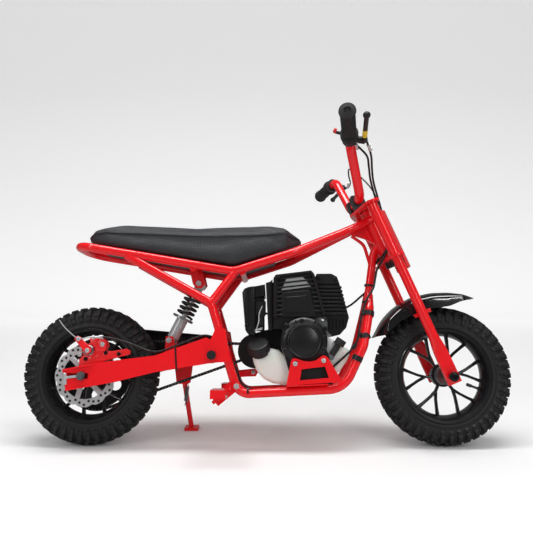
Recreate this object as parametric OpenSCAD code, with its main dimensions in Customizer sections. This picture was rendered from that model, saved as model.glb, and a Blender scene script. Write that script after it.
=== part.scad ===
// Small petrol minibike, leaning on its side stand as it parks.
// X forward, Y to the rider's left, Z up; the floor is Z = 0.
// Everything is drawn upright and parked() leans it over.

/* [Stance] */
// lean to the left on the side stand, in degrees
lean = 9.7; // [0:0.1:15]
// sideways shift that centres the leaning bike, in mm
park_shift = -110; // [-160:1:0]
// distance between the two axles
wheelbase = 822; // [600:1:1100]

/* [Wheels] */
// tyre outer diameter over the lugs
tyre_d = 318; // [250:1:420]
// tyre width, and the diameter of its round crown
tyre_w = 66; // [50:1:90]
// bead seat diameter
bead_d = 203; // [150:1:300]
// rim width over the flanges
rim_w = 56; // [40:1:70]
// rim inner edge that the spokes meet
window_d = 182; // [120:1:220]
// number of forked spokes
spoke_count = 6; // [3:1:10]
// hub diameter
hub_d = 43; // [30:1:80]
// hub width over its flanges
hub_w = 57; // [40:1:90]
// axle diameter
axle_d = 10; // [8:1:16]

/* [Drive and brake] */
// middle plane of the chain, left of centre
chain_y = 43; // [40:1:60]
// pitch radius of the rear sprocket
rear_sprocket_r = 84; // [50:1:110]
// pitch radius of the front sprocket
front_sprocket_r = 17; // [12:1:40]
// middle plane of the brake disc, right of centre
disc_y = 45; // [38:1:60]
// brake disc diameter
disc_d = 140; // [100:1:180]
// brake disc thickness
disc_t = 3; // [2:0.5:5]

/* [Fork] */
// rake of the steering axis
rake = 22.5; // [15:0.5:35]
// half distance between the legs
leg_y = 70; // [55:1:90]
// lower leg diameter
leg_d = 22; // [16:1:40]
// upper leg diameter
sleeve_d = 25.4; // [18:0.1:45]
// lower clamp height along the steering axis, from the axle
lower_clamp_s = 292; // [200:1:400]
// upper clamp height along the steering axis, from the axle
upper_clamp_s = 430; // [300:1:500]
// thickness of the clamp plates
clamp_t = 6; // [4:0.5:12]
// head tube diameter
head_d = 34; // [28:1:60]

/* [Handlebar] */
// handlebar tube diameter
bar_d = 22.2; // [19:0.1:32]
// half width of the handlebar
bar_half = 281; // [200:1:400]
// grip length
grip_l = 99; // [80:1:140]
// grip diameter
grip_d = 32; // [28:1:40]

/* [Frame] */
// frame tube diameter
tube_d = 20; // [16:1:32]
// central down tube diameter
down_tube_d = 19; // [16:1:32]
// half distance between the seat rails
rail_y = 65; // [40:1:90]
// half distance between the cradle tubes
cradle_y = 57; // [40:1:90]

/* [Swingarm] */
// inner face of each arm, from the middle
arm_in = 56; // [50:1:80]
// outer face of each arm, from the middle
arm_out = 72; // [60:1:100]
// pivot bolt diameter
pivot_d = 12; // [8:1:16]

/* [Seat] */
// half width of the seat
seat_half = 82; // [60:1:130]

/* [Side stand] */
// leg rod diameter
stand_d = 12; // [8:1:20]
// how far the stand's pivot is tilted, in degrees
stand_tilt = 11.7; // [0:0.1:30]

/* [Hidden] */
$fn = 48;
// clearance of fixed fits, of turning fits and between soft pieces
fit = 0.2;
run = 0.05;
soft = 0.4;
wheel_r = tyre_d / 2;
crown_r = tyre_w / 2;
front_x = wheelbase / 2;
rear_x = -wheelbase / 2;
bead_r = bead_d / 2;
window_r = window_d / 2;
axle_r = axle_d / 2;
tube_r = tube_d / 2;
bar_s = upper_clamp_s + clamp_t + 20;
bar_n = -17;

function unit(v) = v / norm(v);
function spot(row) = [row[0], row[1], row[2]];
// how far a bend of the row's radius eats into the straight on each side
function setback(rows, i) =
    (i == 0 || i == len(rows) - 1) ? 0
    : rows[i][3] * tan(acos(unit(spot(rows[i]) - spot(rows[i - 1]))
                            * unit(spot(rows[i + 1]) - spot(rows[i]))) / 2);

module rod(from, to, r) {
    way = to - from;
    translate(from)
        rotate([0, acos(way[2] / norm(way)), atan2(way[1], way[0])])
            cylinder(h = norm(way), r = r);
}

// bent tube; the rows' columns are x, y, z and the bend radius there
// each bend is a hair thicker than the straights, which run a little into it
module bent_tube(rows, r) {
    last = len(rows) - 1;
    for (i = [0:last - 1]) {
        way = unit(spot(rows[i + 1]) - spot(rows[i]));
        rod(spot(rows[i]) + way * (setback(rows, i) - (i == 0 ? 0 : 1)),
            spot(rows[i + 1]) - way * (setback(rows, i + 1) - (i == last - 1 ? 0 : 1)), r);
    }
    for (i = [1:len(rows) - 2]) {
        before = unit(spot(rows[i]) - spot(rows[i - 1]));
        after = unit(spot(rows[i + 1]) - spot(rows[i]));
        normal = unit(cross(before, after));
        inward = cross(normal, before);
        centre = spot(rows[i]) - before * setback(rows, i) + inward * rows[i][3];
        multmatrix([
            [-inward[0], before[0], normal[0], centre[0]],
            [-inward[1], before[1], normal[1], centre[1]],
            [-inward[2], before[2], normal[2], centre[2]],
            [0, 0, 0, 1]])
            rotate_extrude(angle = acos(before * after))
                translate([rows[i][3], 0])
                    circle(r = r + 0.1, $fn = 24);
    }
}

// mirror a piece of the right side to the left
module both_sides() {
    children();
    mirror([0, 1, 0])
        children();
}

// a flat outline in X and Z, standing between two distances left of centre
module plate(y0, y1) {
    translate([0, y1, 0])
        rotate([90, 0, 0])
            linear_extrude(height = y1 - y0)
                children();
}

// a round bar across the bike between two distances left of centre
module across(x, z, y0, y1, r) {
    translate([x, y0, z])
        rotate([-90, 0, 0])
            cylinder(h = y1 - y0, r = r);
}

module parked() {
    translate([0, park_shift, crown_r])
        rotate([-lean, 0, 0])
            translate([0, 0, -crown_r])
                children();
}

module at_front_wheel() {
    translate([front_x, 0, wheel_r])
        rotate([-90, 0, 0])
            children();
}

module at_rear_wheel() {
    translate([rear_x, 0, wheel_r])
        rotate([-90, 0, 0])
            children();
}

// the fork's own frame: z along the steering axis from the axle, x forward
module at_fork() {
    translate([front_x, 0, wheel_r])
        rotate([0, -rake, 0])
            children();
}

// a point of the fork's frame as a point of the bike
function from_fork(n, y, s) = [
    front_x + n * cos(rake) - s * sin(rake),
    y,
    wheel_r + n * sin(rake) + s * cos(rake)];

// ---- wheels

module tyre() {
    rotate_extrude($fn = 96)
        difference() {
            translate([wheel_r - crown_r, 0])
                circle(r = crown_r, $fn = 40);
            translate([0, -tyre_w])
                square([bead_r + fit, tyre_w * 2]);
            for (side = [-1, 1])
                translate([0, side * tyre_w / 2 - (side > 0 ? 8 : -8) - tyre_w / 2])
                    square([bead_r + 6, tyre_w]);
        }
}

module rim() {
    difference() {
        union() {
            rotate_extrude($fn = 96)
                polygon([
                    [window_r, -18], [bead_r - 5, -rim_w / 2], [bead_r + 5, -rim_w / 2],
                    [bead_r + 5, -rim_w / 2 + 2.5], [bead_r, -rim_w / 2 + 2.5],
                    [bead_r, rim_w / 2 - 2.5], [bead_r + 5, rim_w / 2 - 2.5],
                    [bead_r + 5, rim_w / 2], [bead_r - 5, rim_w / 2], [window_r, 18]]);
            for (i = [0:spoke_count - 1])
                rotate([0, 0, i * 360 / spoke_count])
                    translate([0, 0, -9])
                        linear_extrude(height = 18) {
                            translate([hub_d / 2 + 4, -5])
                                square([40, 10]);
                            for (side = [-1, 1])
                                polygon([
                                    [58, side * 5], [58, -side * 1],
                                    [93, side * 16], [93, side * 25]]);
                        }
            translate([0, 0, -15])
                cylinder(h = 30, r = hub_d / 2 + 7);
        }
        translate([0, 0, -20])
            cylinder(h = 40, r = hub_d / 2 + fit);
    }
}

module hub() {
    difference() {
        union() {
            translate([0, 0, -hub_w / 2])
                cylinder(h = hub_w, r = hub_d / 2 - 2);
            translate([0, 0, -15])
                cylinder(h = 30, r = hub_d / 2);
        }
        translate([0, 0, -hub_w])
            cylinder(h = hub_w * 2, r = axle_r + run);
    }
}

module front_tyre() {
    color("#161616")
        parked()
            at_front_wheel()
                tyre();
}

module rear_tyre() {
    color("#161616")
        parked()
            at_rear_wheel()
                tyre();
}

module front_rim() {
    color("#1b1b1c")
        parked()
            at_front_wheel()
                rim();
}

module rear_rim() {
    color("#1b1b1c")
        parked()
            at_rear_wheel()
                rim();
}

module front_hub() {
    color("#8d8f92")
        parked()
            at_front_wheel()
                hub();
}

module rear_hub() {
    color("#8d8f92")
        parked()
            at_rear_wheel()
                hub();
}

// through axle with its two spacers and the bolt heads outside the fork ends
module front_axle() {
    color("#4b4d50")
        parked() {
            across(front_x, wheel_r, -leg_y - 12, leg_y + 12, axle_r);
            both_sides() {
                difference() {
                    across(front_x, wheel_r, -leg_y + 6.2, -hub_w / 2 - 0.5, 9);
                    across(front_x, wheel_r, -leg_y, 0, axle_r);
                }
                across(front_x, wheel_r, -leg_y - 16, -leg_y - 6.2, 9);
            }
        }
}

module rear_axle() {
    color("#b9bbbd")
        parked() {
            across(rear_x, wheel_r, -arm_out - 14, arm_out + 14, axle_r);
            both_sides()
                across(rear_x, wheel_r, -arm_out - 9, -arm_out - 0.1, 9);
        }
}

module rear_sprocket() {
    color("#3a3b3d")
        parked()
            at_rear_wheel()
                difference() {
                    union() {
                        translate([0, 0, chain_y - 1.5])
                            cylinder(h = 3, r = rear_sprocket_r - 3.5);
                        translate([0, 0, hub_w / 2 + 0.1])
                            cylinder(h = chain_y - hub_w / 2 - 1, r = 24);
                    }
                    translate([0, 0, 20])
                        cylinder(h = 40, r = axle_r + 2);
                    for (i = [0:5])
                        rotate([0, 0, i * 60 + 30])
                            translate([50, 0, 20])
                                cylinder(h = 40, r = 14);
                }
}

module brake_disc() {
    color("#8b8d90")
        parked()
            at_rear_wheel()
                difference() {
                    union() {
                        translate([0, 0, -disc_y - disc_t / 2])
                            cylinder(h = disc_t, r = disc_d / 2);
                        translate([0, 0, -disc_y])
                            cylinder(h = disc_y - hub_w / 2 - 0.1, r = 22);
                    }
                    translate([0, 0, -60])
                        cylinder(h = 40, r = axle_r + 2);
                    for (i = [0:5])
                        rotate([0, 0, i * 60])
                            translate([37, 0, -60])
                                cylinder(h = 40, r = 11);
                }
}

// ---- fork, clamps and handlebar

module fork_legs() {
    color("#d8141c")
        parked()
            both_sides()
                difference() {
                    union() {
                        at_fork() {
                            translate([0, -leg_y, 14])
                                cylinder(h = lower_clamp_s - 14, r = leg_d / 2);
                            translate([0, -leg_y, lower_clamp_s + clamp_t])
                                cylinder(
                                    h = upper_clamp_s - lower_clamp_s - clamp_t,
                                    r = sleeve_d / 2);
                            translate([-11.8, -leg_y - 5.5, 0])
                                cube([23.6, 11, 34]);
                        }
                        across(front_x, wheel_r, -leg_y - 6, -leg_y + 6, 13.5);
                    }
                    across(front_x, wheel_r, -leg_y - 10, -leg_y + 10, axle_r);
                }
}

// outline of a clamp plate, bulged back round the stem
module clamp_outline(back) {
    difference() {
        hull() {
            for (side = [-1, 1])
                translate([0, side * leg_y])
                    circle(r = 20);
            translate([-back + 14, 0])
                circle(r = 34 - 14);
        }
        for (side = [-1, 1])
            translate([30, side * 32])
                circle(r = 15);
    }
}

module lower_clamp() {
    color("#d8141c")
        parked()
            at_fork()
                translate([0, 0, lower_clamp_s])
                    difference() {
                        linear_extrude(height = clamp_t)
                            clamp_outline(18);
                        translate([0, 0, -1])
                            cylinder(h = clamp_t + 2, r = 10 + run);
                    }
}

module upper_clamp() {
    color("#d8141c")
        parked()
            at_fork()
                translate([0, 0, upper_clamp_s])
                    difference() {
                        linear_extrude(height = clamp_t)
                            clamp_outline(36);
                        translate([0, 0, -1])
                            cylinder(h = clamp_t + 2, r = 10 + run);
                    }
}

module steering_stem() {
    color("#2a2b2d")
        parked()
            at_fork() {
                translate([0, 0, lower_clamp_s - 12])
                    cylinder(h = upper_clamp_s - lower_clamp_s + clamp_t + 20, r = 10);
                translate([0, 0, lower_clamp_s - 14])
                    cylinder(h = 13.9, r = 13);
                translate([0, 0, upper_clamp_s + clamp_t + 0.1])
                    cylinder(h = 9, r = 14);
            }
}

module bar_clamps() {
    color("#141414")
        parked()
            at_fork()
                for (side = [-1, 1])
                    difference() {
                        translate([bar_n - 14, side * 28 - 14, upper_clamp_s + clamp_t + 0.1])
                            cube([28, 28, 34]);
                        translate([bar_n, side * 28 - 20, bar_s])
                            rotate([-90, 0, 0])
                                cylinder(h = 40, r = bar_d / 2 + run);
                        translate([0, 0, upper_clamp_s])
                            cylinder(h = 30, r = 16);
                    }
}

// the bar's right half; columns are x, y, z and bend radius
bar_mid = from_fork(bar_n, 0, bar_s);
bar_rows = [
    [bar_mid[0], 0, bar_mid[2], 0],
    [bar_mid[0], -64, bar_mid[2], 32],
    [190, -130, 676, 34],
    [162, -bar_half, 684, 0]];
bar_way = unit(spot(bar_rows[3]) - spot(bar_rows[2]));

module handlebar() {
    color("#d8141c")
        parked()
            both_sides()
                bent_tube(bar_rows, bar_d / 2);
}

// rubber sleeves with a flange at each end
module grips() {
    end = spot(bar_rows[3]);
    color("#1a1a1a")
        parked()
            both_sides()
                difference() {
                    union() {
                        rod(end - bar_way * (grip_l - 4), end + bar_way * 3, grip_d / 2);
                        rod(end - bar_way * grip_l, end - bar_way * (grip_l - 4),
                            grip_d / 2 + 4);
                        rod(end - bar_way * 1, end + bar_way * 3, grip_d / 2 + 2);
                    }
                    rod(end - bar_way * (grip_l + 5), end, bar_d / 2 + fit);
                }
}

// lever, its pivot housing and the band round the bar
module brake_levers() {
    seat = spot(bar_rows[3]) - bar_way * (grip_l + 20);
    color("#161617")
        parked()
            both_sides()
                difference() {
                    union() {
                        rod(seat - bar_way * 9, seat + bar_way * 9, 17);
                        rod(seat, seat + [34, 0, -6], 8);
                        rod(seat + [34, 0, -6], seat + [34, 0, -6] + [-4, -18, 0], 6);
                        rod(seat + [30, -18, -6], seat + [16, -120, -4], 5);
                    }
                    rod(seat - bar_way * 20, seat + bar_way * 20, bar_d / 2 + fit);
                }
}

module switch_housing() {
    seat = spot(bar_rows[3]) - bar_way * (grip_l + 10.5);
    color("#161617")
        parked()
            difference() {
                union() {
                    rod(seat, seat + bar_way * 10, 19);
                    rod(seat + bar_way * 3, seat + bar_way * 3 + [-30, 0, 8], 3.5);
                }
                rod(seat - bar_way * 20, seat + bar_way * 20, bar_d / 2 + fit);
            }
}

// curved mudguard over the front tyre; the angles go up from the front
module front_fender() {
    color("#141516")
        parked()
            at_front_wheel()
                rotate([0, 0, -150])
                    rotate_extrude(angle = 84, $fn = 96)
                        difference() {
                            translate([164, -46])
                                square([30, 92]);
                            translate([160, -43.5])
                                square([31.5, 87]);
                        }
}

// flat brackets on the fender's sides, held to the legs by short bosses
module fender_stays() {
    color("#d8141c")
        parked()
            both_sides()
                difference() {
                    at_fork() {
                        translate([-34, -49.2, 160])
                            cube([68, 3, 20]);
                        translate([-7, -leg_y, 163])
                            cube([14, leg_y - 46.3, 14]);
                    }
                    at_fork()
                        translate([0, -leg_y, 0])
                            cylinder(h = 300, r = leg_d / 2 + fit);
                }
}

module front_panel() {
    color("#d8141c")
        parked()
            at_fork()
                intersection() {
                    difference() {
                        translate([-30, 0, 262])
                            cylinder(h = 148, r = 70, $fn = 96);
                        translate([-30, 0, 261])
                            cylinder(h = 150, r = 68, $fn = 96);
                    }
                    translate([20.4, -60, 262])
                        cube([60, 120, 148]);
                }
}

// ---- frame

// right seat rail; columns are x, y, z and bend radius
rail_rows = [
    [-398, -rail_y, 450, 0],
    [-76, -rail_y, 396, 60],
    [60, -rail_y + 4, 440, 80],
    [200, -16, 505, 60],
    [262, -12, 535, 0]];

// right cradle tube, from under the seat rail to the down tube
cradle_rows = [
    [-325, -rail_y, 433, 0],
    [-126, -rail_y - 4, 322, 30],
    [-64, -cradle_y - 1, 119, 36],
    [174, -cradle_y, 131, 60],
    [220, -cradle_y, 225, 50],
    [240, -36, 310, 40],
    [244, -10, 345, 0]];

down_rows = [
    [276, 0, 474, 0],
    [261, 0, 452, 40],
    [240, 0, 318, 0]];

module head_bore() {
    at_fork()
        translate([0, 0, lower_clamp_s])
            cylinder(h = upper_clamp_s - lower_clamp_s + 10, r = 11.5);
}

module head_tube() {
    at_fork()
        translate([0, 0, lower_clamp_s + clamp_t + 1])
            cylinder(h = upper_clamp_s - lower_clamp_s - clamp_t - 2, r = head_d / 2);
}

// head tube, central down tube and the bent rod that braces it to the rails
module frame_head() {
    color("#d8141c")
        parked()
            difference() {
                union() {
                    head_tube();
                    bent_tube(down_rows, down_tube_d / 2);
                    bent_tube([
                        [208, 0, 494, 0],
                        [238, 0, 472, 30],
                        [252, 0, 420, 0]], 4);
                    plate(-3, 3)
                        polygon([[196, 500], [262, 528], [270, 470], [240, 486]]);
                }
                head_bore();
            }
}

module rail() {
    difference() {
        bent_tube(rail_rows, tube_r);
        head_tube();
        head_bore();
        plate(-3, 3)
            polygon([[190, 490], [262, 528], [290, 470], [240, 480]]);
    }
}

module rail_right() {
    color("#d8141c")
        parked()
            rail();
}

module rail_left() {
    color("#d8141c")
        parked()
            mirror([0, 1, 0])
                rail();
}

// rear bow that joins the two rails behind the seat
module tail_loop() {
    color("#d8141c")
        parked()
            bent_tube([
                [-398.1, -rail_y, 450, 0],
                [-448, -rail_y, 459, 46],
                [-448, rail_y, 459, 46],
                [-398.1, rail_y, 450, 0]], tube_r);
}

module cradle() {
    difference() {
        union() {
            bent_tube(cradle_rows, tube_r);
            rod([-126, -rail_y - 4, 322], [-72, -rail_y, 396], tube_r);
            plate(-77, -73)
                polygon([[-112, 270], [-92, 262], [-80, 190], [-128, 188],
                         [-138, 200], [-134, 218]]);
        }
        bent_tube(rail_rows, tube_r);
        bent_tube(down_rows, down_tube_d / 2);
        across(-122, 205, -100, 0, pivot_d / 2);
    }
}

module cradle_right() {
    color("#d8141c")
        parked()
            cradle();
}

module cradle_left() {
    color("#d8141c")
        parked()
            mirror([0, 1, 0])
                cradle();
}

// tubes and plates across the frame
module frame_crossmembers() {
    color("#d8141c")
        parked()
            difference() {
                union() {
                    across(-56, 395, -rail_y, rail_y, 8);
                    across(-170, 404, -rail_y, rail_y, 8);
                    across(-78, 165, -cradle_y, cradle_y, 8);
                    for (side = [-1, 1])
                        plate(side * 22 - 2, side * 22 + 2)
                            polygon([[-184, 405], [-154, 405], [-146, 372],
                                     [-154, 362], [-168, 362], [-176, 372]]);
                }
                both_sides() {
                    bent_tube(rail_rows, tube_r);
                    bent_tube(cradle_rows, tube_r);
                    rod([-126, -rail_y - 4, 322], [-72, -rail_y, 396], tube_r);
                }
                across(-161, 372, -60, 60, 5 + run);
            }
}

module footpeg_brackets() {
    color("#d8141c")
        parked()
            both_sides()
                difference() {
                    translate([-97, 0, 118])
                        rotate([0, -39, 0])
                            union() {
                                for (side = [-1, 1])
                                    translate([side * 18 - 2, -89, -13])
                                        cube([4, 37, 26]);
                                translate([-20, -66, -13])
                                    cube([62, 14, 26]);
                            }
                    bent_tube(cradle_rows, tube_r);
                    translate([-97, -82, 118])
                        rotate([0, -39 + 90, 0])
                            cylinder(h = 80, r = 4 + run, center = true);
                }
}

module footpegs() {
    color("#d8141c")
        parked()
            both_sides()
                translate([-97, -82, 118])
                    rotate([0, -39, 0]) {
                        rotate([0, 90, 0]) {
                            cylinder(h = 31, r = 7, center = true);
                            translate([0, 0, -26])
                                cylinder(h = 50, r = 4);
                        }
                        translate([-13, -12, -7])
                            cube([26, 12, 14]);
                        rotate([0, 39, 0])
                            translate([-18, -76, -2])
                                cube([32, 65, 18]);
                    }
}

// ---- swingarm, shock, chain and rear brake

module swingarm() {
    color("#d8141c")
        parked()
            difference() {
                union() {
                    both_sides()
                        plate(-arm_out, -arm_in)
                            polygon([
                                [-455, 173], [-370, 189], [-249, 204], [-136, 244],
                                [-118, 236], [-109, 222], [-105, 205], [-118, 187],
                                [-135, 186], [-250, 167], [-336, 146], [-445, 126]]);
                    plate(-arm_in, arm_in)
                        polygon([[-222, 180], [-188, 188], [-190, 212], [-222, 206]]);
                    for (side = [-1, 1])
                        plate(side * 22 - 2, side * 22 + 2)
                            polygon([[-238, 190], [-215, 190], [-208, 206],
                                     [-219, 248], [-236, 248]]);
                    across(-122, 205, -arm_in, arm_in, 13);
                }
                across(-122, 205, -100, 100, pivot_d / 2);
                across(-227, 238.7, -60, 60, 5 + run);
                both_sides()
                    plate(-arm_out - 1, -arm_in + 1 - 2)
                        polygon([[rear_x - 32, wheel_r - 6], [rear_x + 14, wheel_r - 6],
                                 [rear_x + 14, wheel_r + 6], [rear_x - 32, wheel_r + 6]]);
                plate(-200, 200)
                    polygon([[rear_x - axle_r, wheel_r - axle_r], [rear_x + axle_r, wheel_r - axle_r],
                             [rear_x + axle_r, wheel_r + axle_r], [rear_x - axle_r, wheel_r + axle_r]]);
            }
}

module pivot_bolt() {
    color("#1c1c1d")
        parked() {
            across(-122, 205, -84, 84, pivot_d / 2);
            both_sides()
                across(-122, 205, -86, -77.1, 10);
        }
}

shock_low = [-227, 0, 238.7];
shock_top = [-161, 0, 372];
shock_way = unit(shock_top - shock_low);

module shock_body() {
    color("#aeb0b3")
        parked() {
            rod(shock_low + shock_way * 8, shock_low + shock_way * 62, 14);
            rod(shock_low + shock_way * 62, shock_top - shock_way * 8, 6);
            rod(shock_low + shock_way * 56, shock_low + shock_way * 62, 25);
            rod(shock_top - shock_way * 24, shock_top - shock_way * 18, 25);
            rod(shock_top - shock_way * 18, shock_top - shock_way * 4, 11);
            across(shock_low[0], shock_low[2], -19.8, 19.8, 11);
            across(shock_top[0], shock_top[2], -19.8, 19.8, 11);
            across(shock_low[0], shock_low[2], -30, 30, 5);
            across(shock_top[0], shock_top[2], -30, 30, 5);
        }
}

// coil spring, one ring of points per step along the helix
spring_turns = 5;
spring_steps = 16;
spring_r = 19;
spring_wire = 3;
spring_h = 148.7 - 62 - 24 - 1 - spring_wire * 2;
function coil_ring(i) =
    let (a = 360 * i / spring_steps)
    [for (k = [0:7])
        let (b = 45 * k)
        [(spring_r + spring_wire * cos(b)) * cos(a),
         (spring_r + spring_wire * cos(b)) * sin(a),
         spring_h * i / (spring_turns * spring_steps) + spring_wire * sin(b)]];

module helix() {
    last = spring_turns * spring_steps;
    polyhedron(
        points = [for (i = [0:last]) each coil_ring(i)],
        faces = concat(
            [[for (k = [7:-1:0]) k]],
            [[for (k = [0:7]) last * 8 + k]],
            [for (i = [0:last - 1]) for (k = [0:7])
                [i * 8 + k, (i + 1) * 8 + (k + 1) % 8, (i + 1) * 8 + k]],
            [for (i = [0:last - 1]) for (k = [0:7])
                [i * 8 + k, i * 8 + (k + 1) % 8, (i + 1) * 8 + (k + 1) % 8]]));
}

module shock_spring() {
    color("#17181a")
        parked()
            translate(shock_low + shock_way * (62 + 0.5 + spring_wire))
                rotate([0, acos(shock_way[2]), 0])
                    helix();
}

sprocket_x = -50;
sprocket_z = 215;
chain_h = 4.5;

// closed band round both sprockets
module chain_path(grow) {
    hull() {
        translate([rear_x, wheel_r])
            circle(r = rear_sprocket_r + grow, $fn = 64);
        translate([sprocket_x, sprocket_z])
            circle(r = front_sprocket_r + grow, $fn = 32);
    }
}

module chain() {
    color("#2b2c2e")
        parked()
            plate(chain_y - 5, chain_y + 5)
                difference() {
                    chain_path(chain_h);
                    chain_path(-2.5);
                }
}

module front_sprocket() {
    color("#3a3b3d")
        parked() {
            across(sprocket_x, sprocket_z, chain_y - 1.5, chain_y + 1.5,
                   front_sprocket_r - 3);
            across(sprocket_x, sprocket_z, 36.1, chain_y + 4, 7);
        }
}

module chain_guard() {
    color("#17181a")
        parked() {
            plate(arm_out + 0.1, arm_out + 2.1)
                polygon([[-311, 268], [-131, 252], [-131, 225], [-160, 218],
                         [-240, 196], [-300, 200]]);
            plate(40, arm_out + 2.1)
                polygon([[-311, 268], [-131, 252], [-131, 250], [-311, 266]]);
        }
}

module brake_caliper() {
    color("#c9151c")
        parked()
            difference() {
                union() {
                    plate(-55.8, -37)
                        polygon([[-432, 196], [-424, 238], [-378, 238], [-366, 214],
                                 [-372, 196]]);
                    plate(-55.8, -51)
                        polygon([[-424, 150], [-424, 200], [-372, 222], [-312, 218],
                                 [-310, 206], [-372, 196], [-398, 168], [-398, 150]]);
                }
                plate(-disc_y - 3, -disc_y + 3)
                    translate([rear_x, wheel_r])
                        circle(r = disc_d / 2 + 3);
                across(rear_x, wheel_r, -80, 0, axle_r + fit);
            }
}

// ---- engine

module engine_block() {
    color("#55575a")
        parked() {
            plate(-46, 9.9)
                polygon([[40, 212], [60, 196], [130, 196], [140, 206], [140, 280],
                         [112, 290], [112, 330], [62, 330], [62, 290], [34, 280]]);
            plate(-64, -46)
                polygon([[139.5, 196], [149, 194], [153.3, 200.8], [141.7, 208.6],
                         [139.5, 208]]);
        }
}

module recoil_cover() {
    color("#1b1c1d")
        parked() {
            plate(-72, -46.1)
                hull() {
                    translate([85, 236])
                        circle(r = 53, $fn = 64);
                    translate([54, 190])
                        circle(r = 10);
                    translate([116, 190])
                        circle(r = 10);
                }
            across(85, 236, -79, -72, 40);
            across(85, 236, -82, -79, 33);
        }
}

module cylinder_shroud() {
    color("#1b1c1d")
        parked()
            difference() {
                plate(-66, 44)
                    polygon([[4, 296], [4, 376], [24, 392], [106, 402], [112, 398],
                             [112, 330.1], [61.9, 330.1], [61.9, 296]]);
                for (i = [0:4])
                    plate(-70, -58)
                        polygon([[24, 372 - i * 14], [24, 378 - i * 14],
                                 [100, 386 - i * 14], [100, 380 - i * 14]]);
            }
}

module muffler_cover() {
    color("#1b1c1d")
        parked()
            plate(-42, 40)
                polygon([[114, 292], [114, 398], [162, 396], [176, 386], [197, 300],
                         [180, 258], [153, 248], [140.1, 262], [140.1, 292]]);
}

module air_filter() {
    color("#1b1c1d")
        parked()
            union() {
                plate(-46, 40)
                    polygon([[-58, 352], [-44, 366], [2, 372], [2, 300], [-14, 288],
                             [-20, 262], [-46, 262]]);
                plate(-46, 9.5)
                    polygon([[-20, 262.5], [-22, 254], [-40, 251], [-46, 262.5]]);
            }
}

// filler neck's own frame: z outwards along the neck
module at_filler() {
    translate([-17, -44, 226])
        rotate([90 - 12, 0, 0])
            children();
}

// saddle-shaped tank under the crankcase
module fuel_tank() {
    color("#e8e6df")
        parked() {
            plate(-45, 9)
                polygon([[-32, 205], [-30, 168], [-10, 150], [20, 140], [150, 140],
                         [176, 152], [192, 178], [196, 212], [182, 228], [160, 226],
                         [142, 195], [120, 178], [50, 178], [28, 195], [14, 240],
                         [-26, 240]]);
            at_filler()
                translate([0, 0, -6])
                    cylinder(h = 12, r = 13);
        }
}

module fuel_cap() {
    color("#1a1a1b")
        parked()
            at_filler()
                translate([0, 0, 6.1])
                    cylinder(h = 18, r = 24);
}

module oil_filler() {
    color("#1a1a1b")
        parked()
            translate([147.6, -56, 204.8])
                rotate([0, 34, 0]) {
                    cylinder(h = 28, r = 7);
                    translate([0, 0, 28])
                        cylinder(h = 14, r = 12);
                }
}

module gearbox() {
    color("#1e1f20")
        parked()
            plate(10, 36)
                hull() {
                    translate([-28, 215])
                        circle(r = 41, $fn = 64);
                    translate([85, 236])
                        circle(r = 50, $fn = 64);
                }
}

// plate that carries the engine on the cradle tube
module engine_bracket_outline() {
    difference() {
        union() {
            polygon([[44, 139], [54, 190], [57, 197], [64, 198.5], [72, 196], [84, 192],
                     [96, 191], [108, 193], [116, 198], [124, 204], [132, 204],
                     [138, 198], [168, 147]]);
        }
        polygon([[74, 150], [78, 174], [110, 178], [130, 180], [138, 156]]);
    }
}

module engine_bracket_right() {
    color("#d8141c")
        parked() {
            difference() {
                plate(-76, -72.1)
                    engine_bracket_outline();
                for (x = [66, 126])
                    across(x, x == 66 ? 190 : 194, -80, -70, 3);
            }
            plate(-76, -50)
                polygon([[44, 135.5], [136, 140], [136, 143], [44, 139]]);
        }
}

module engine_bracket_left() {
    color("#d8141c")
        parked() {
            plate(40.1, 44)
                engine_bracket_outline();
            plate(40.1, 64)
                polygon([[44, 135.5], [136, 140], [136, 143], [44, 139]]);
        }
}

// ---- seat

// seat sections; columns are x, half width, bottom, top and edge radius
seat_rows = [
    [-429, 34, 474, 487, 5],
    [-408, 60, 463, 501, 14],
    [-376, 68, 458, 505, 16],
    [-165, seat_half - 2, 423, 495, 20],
    [-76, seat_half, 409, 497, 22],
    [45, 70, 447, 503, 20],
    [86, 34, 468, 480, 5]];

module seat_section(row) {
    for (side = [-1, 1])
        for (z = [row[2] + row[4], row[3] - row[4]])
            translate([row[0], side * (row[1] - row[4]), z])
                rotate([0, 90, 0])
                    cylinder(h = 1, r = row[4], center = true, $fn = 24);
}

module seat_pad() {
    color("#2c2e31")
        parked()
            for (i = [0:len(seat_rows) - 2])
                hull() {
                    seat_section(seat_rows[i]);
                    seat_section(seat_rows[i + 1]);
                }
}

// pan under the cushion, between the rails
module seat_base() {
    under = soft;
    deep = 10;
    color("#151516")
        parked()
            plate(-50, 50)
                polygon([
                    [-400, 461.5 - under], [-376, 457 - under], [-165, 422 - under],
                    [-76, 408 - under], [20, 437 - under],
                    [20, 437 - under - deep], [-76, 408 - under - deep],
                    [-165, 422 - under - deep], [-376, 457 - under - deep],
                    [-400, 461.5 - under - deep]]);
}

// ---- side stand

stand_pivot = [-207.5, 79, 148];
stand_foot = [-191, 114.5, 19 + 7];

module at_stand() {
    translate(stand_pivot)
        rotate([stand_tilt - 90, 0, 0])
            children();
}

module stand_bracket() {
    color("#d8141c")
        parked() {
            plate(arm_out + 0.1, arm_out + 4.1)
                polygon([[-232, 190], [-184, 192], [-190, 138], [-196, 134],
                         [-219, 134], [-225, 138]]);
            at_stand()
                translate([0, 0, -7])
                    cylinder(h = 20, r = 5);
        }
}

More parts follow.
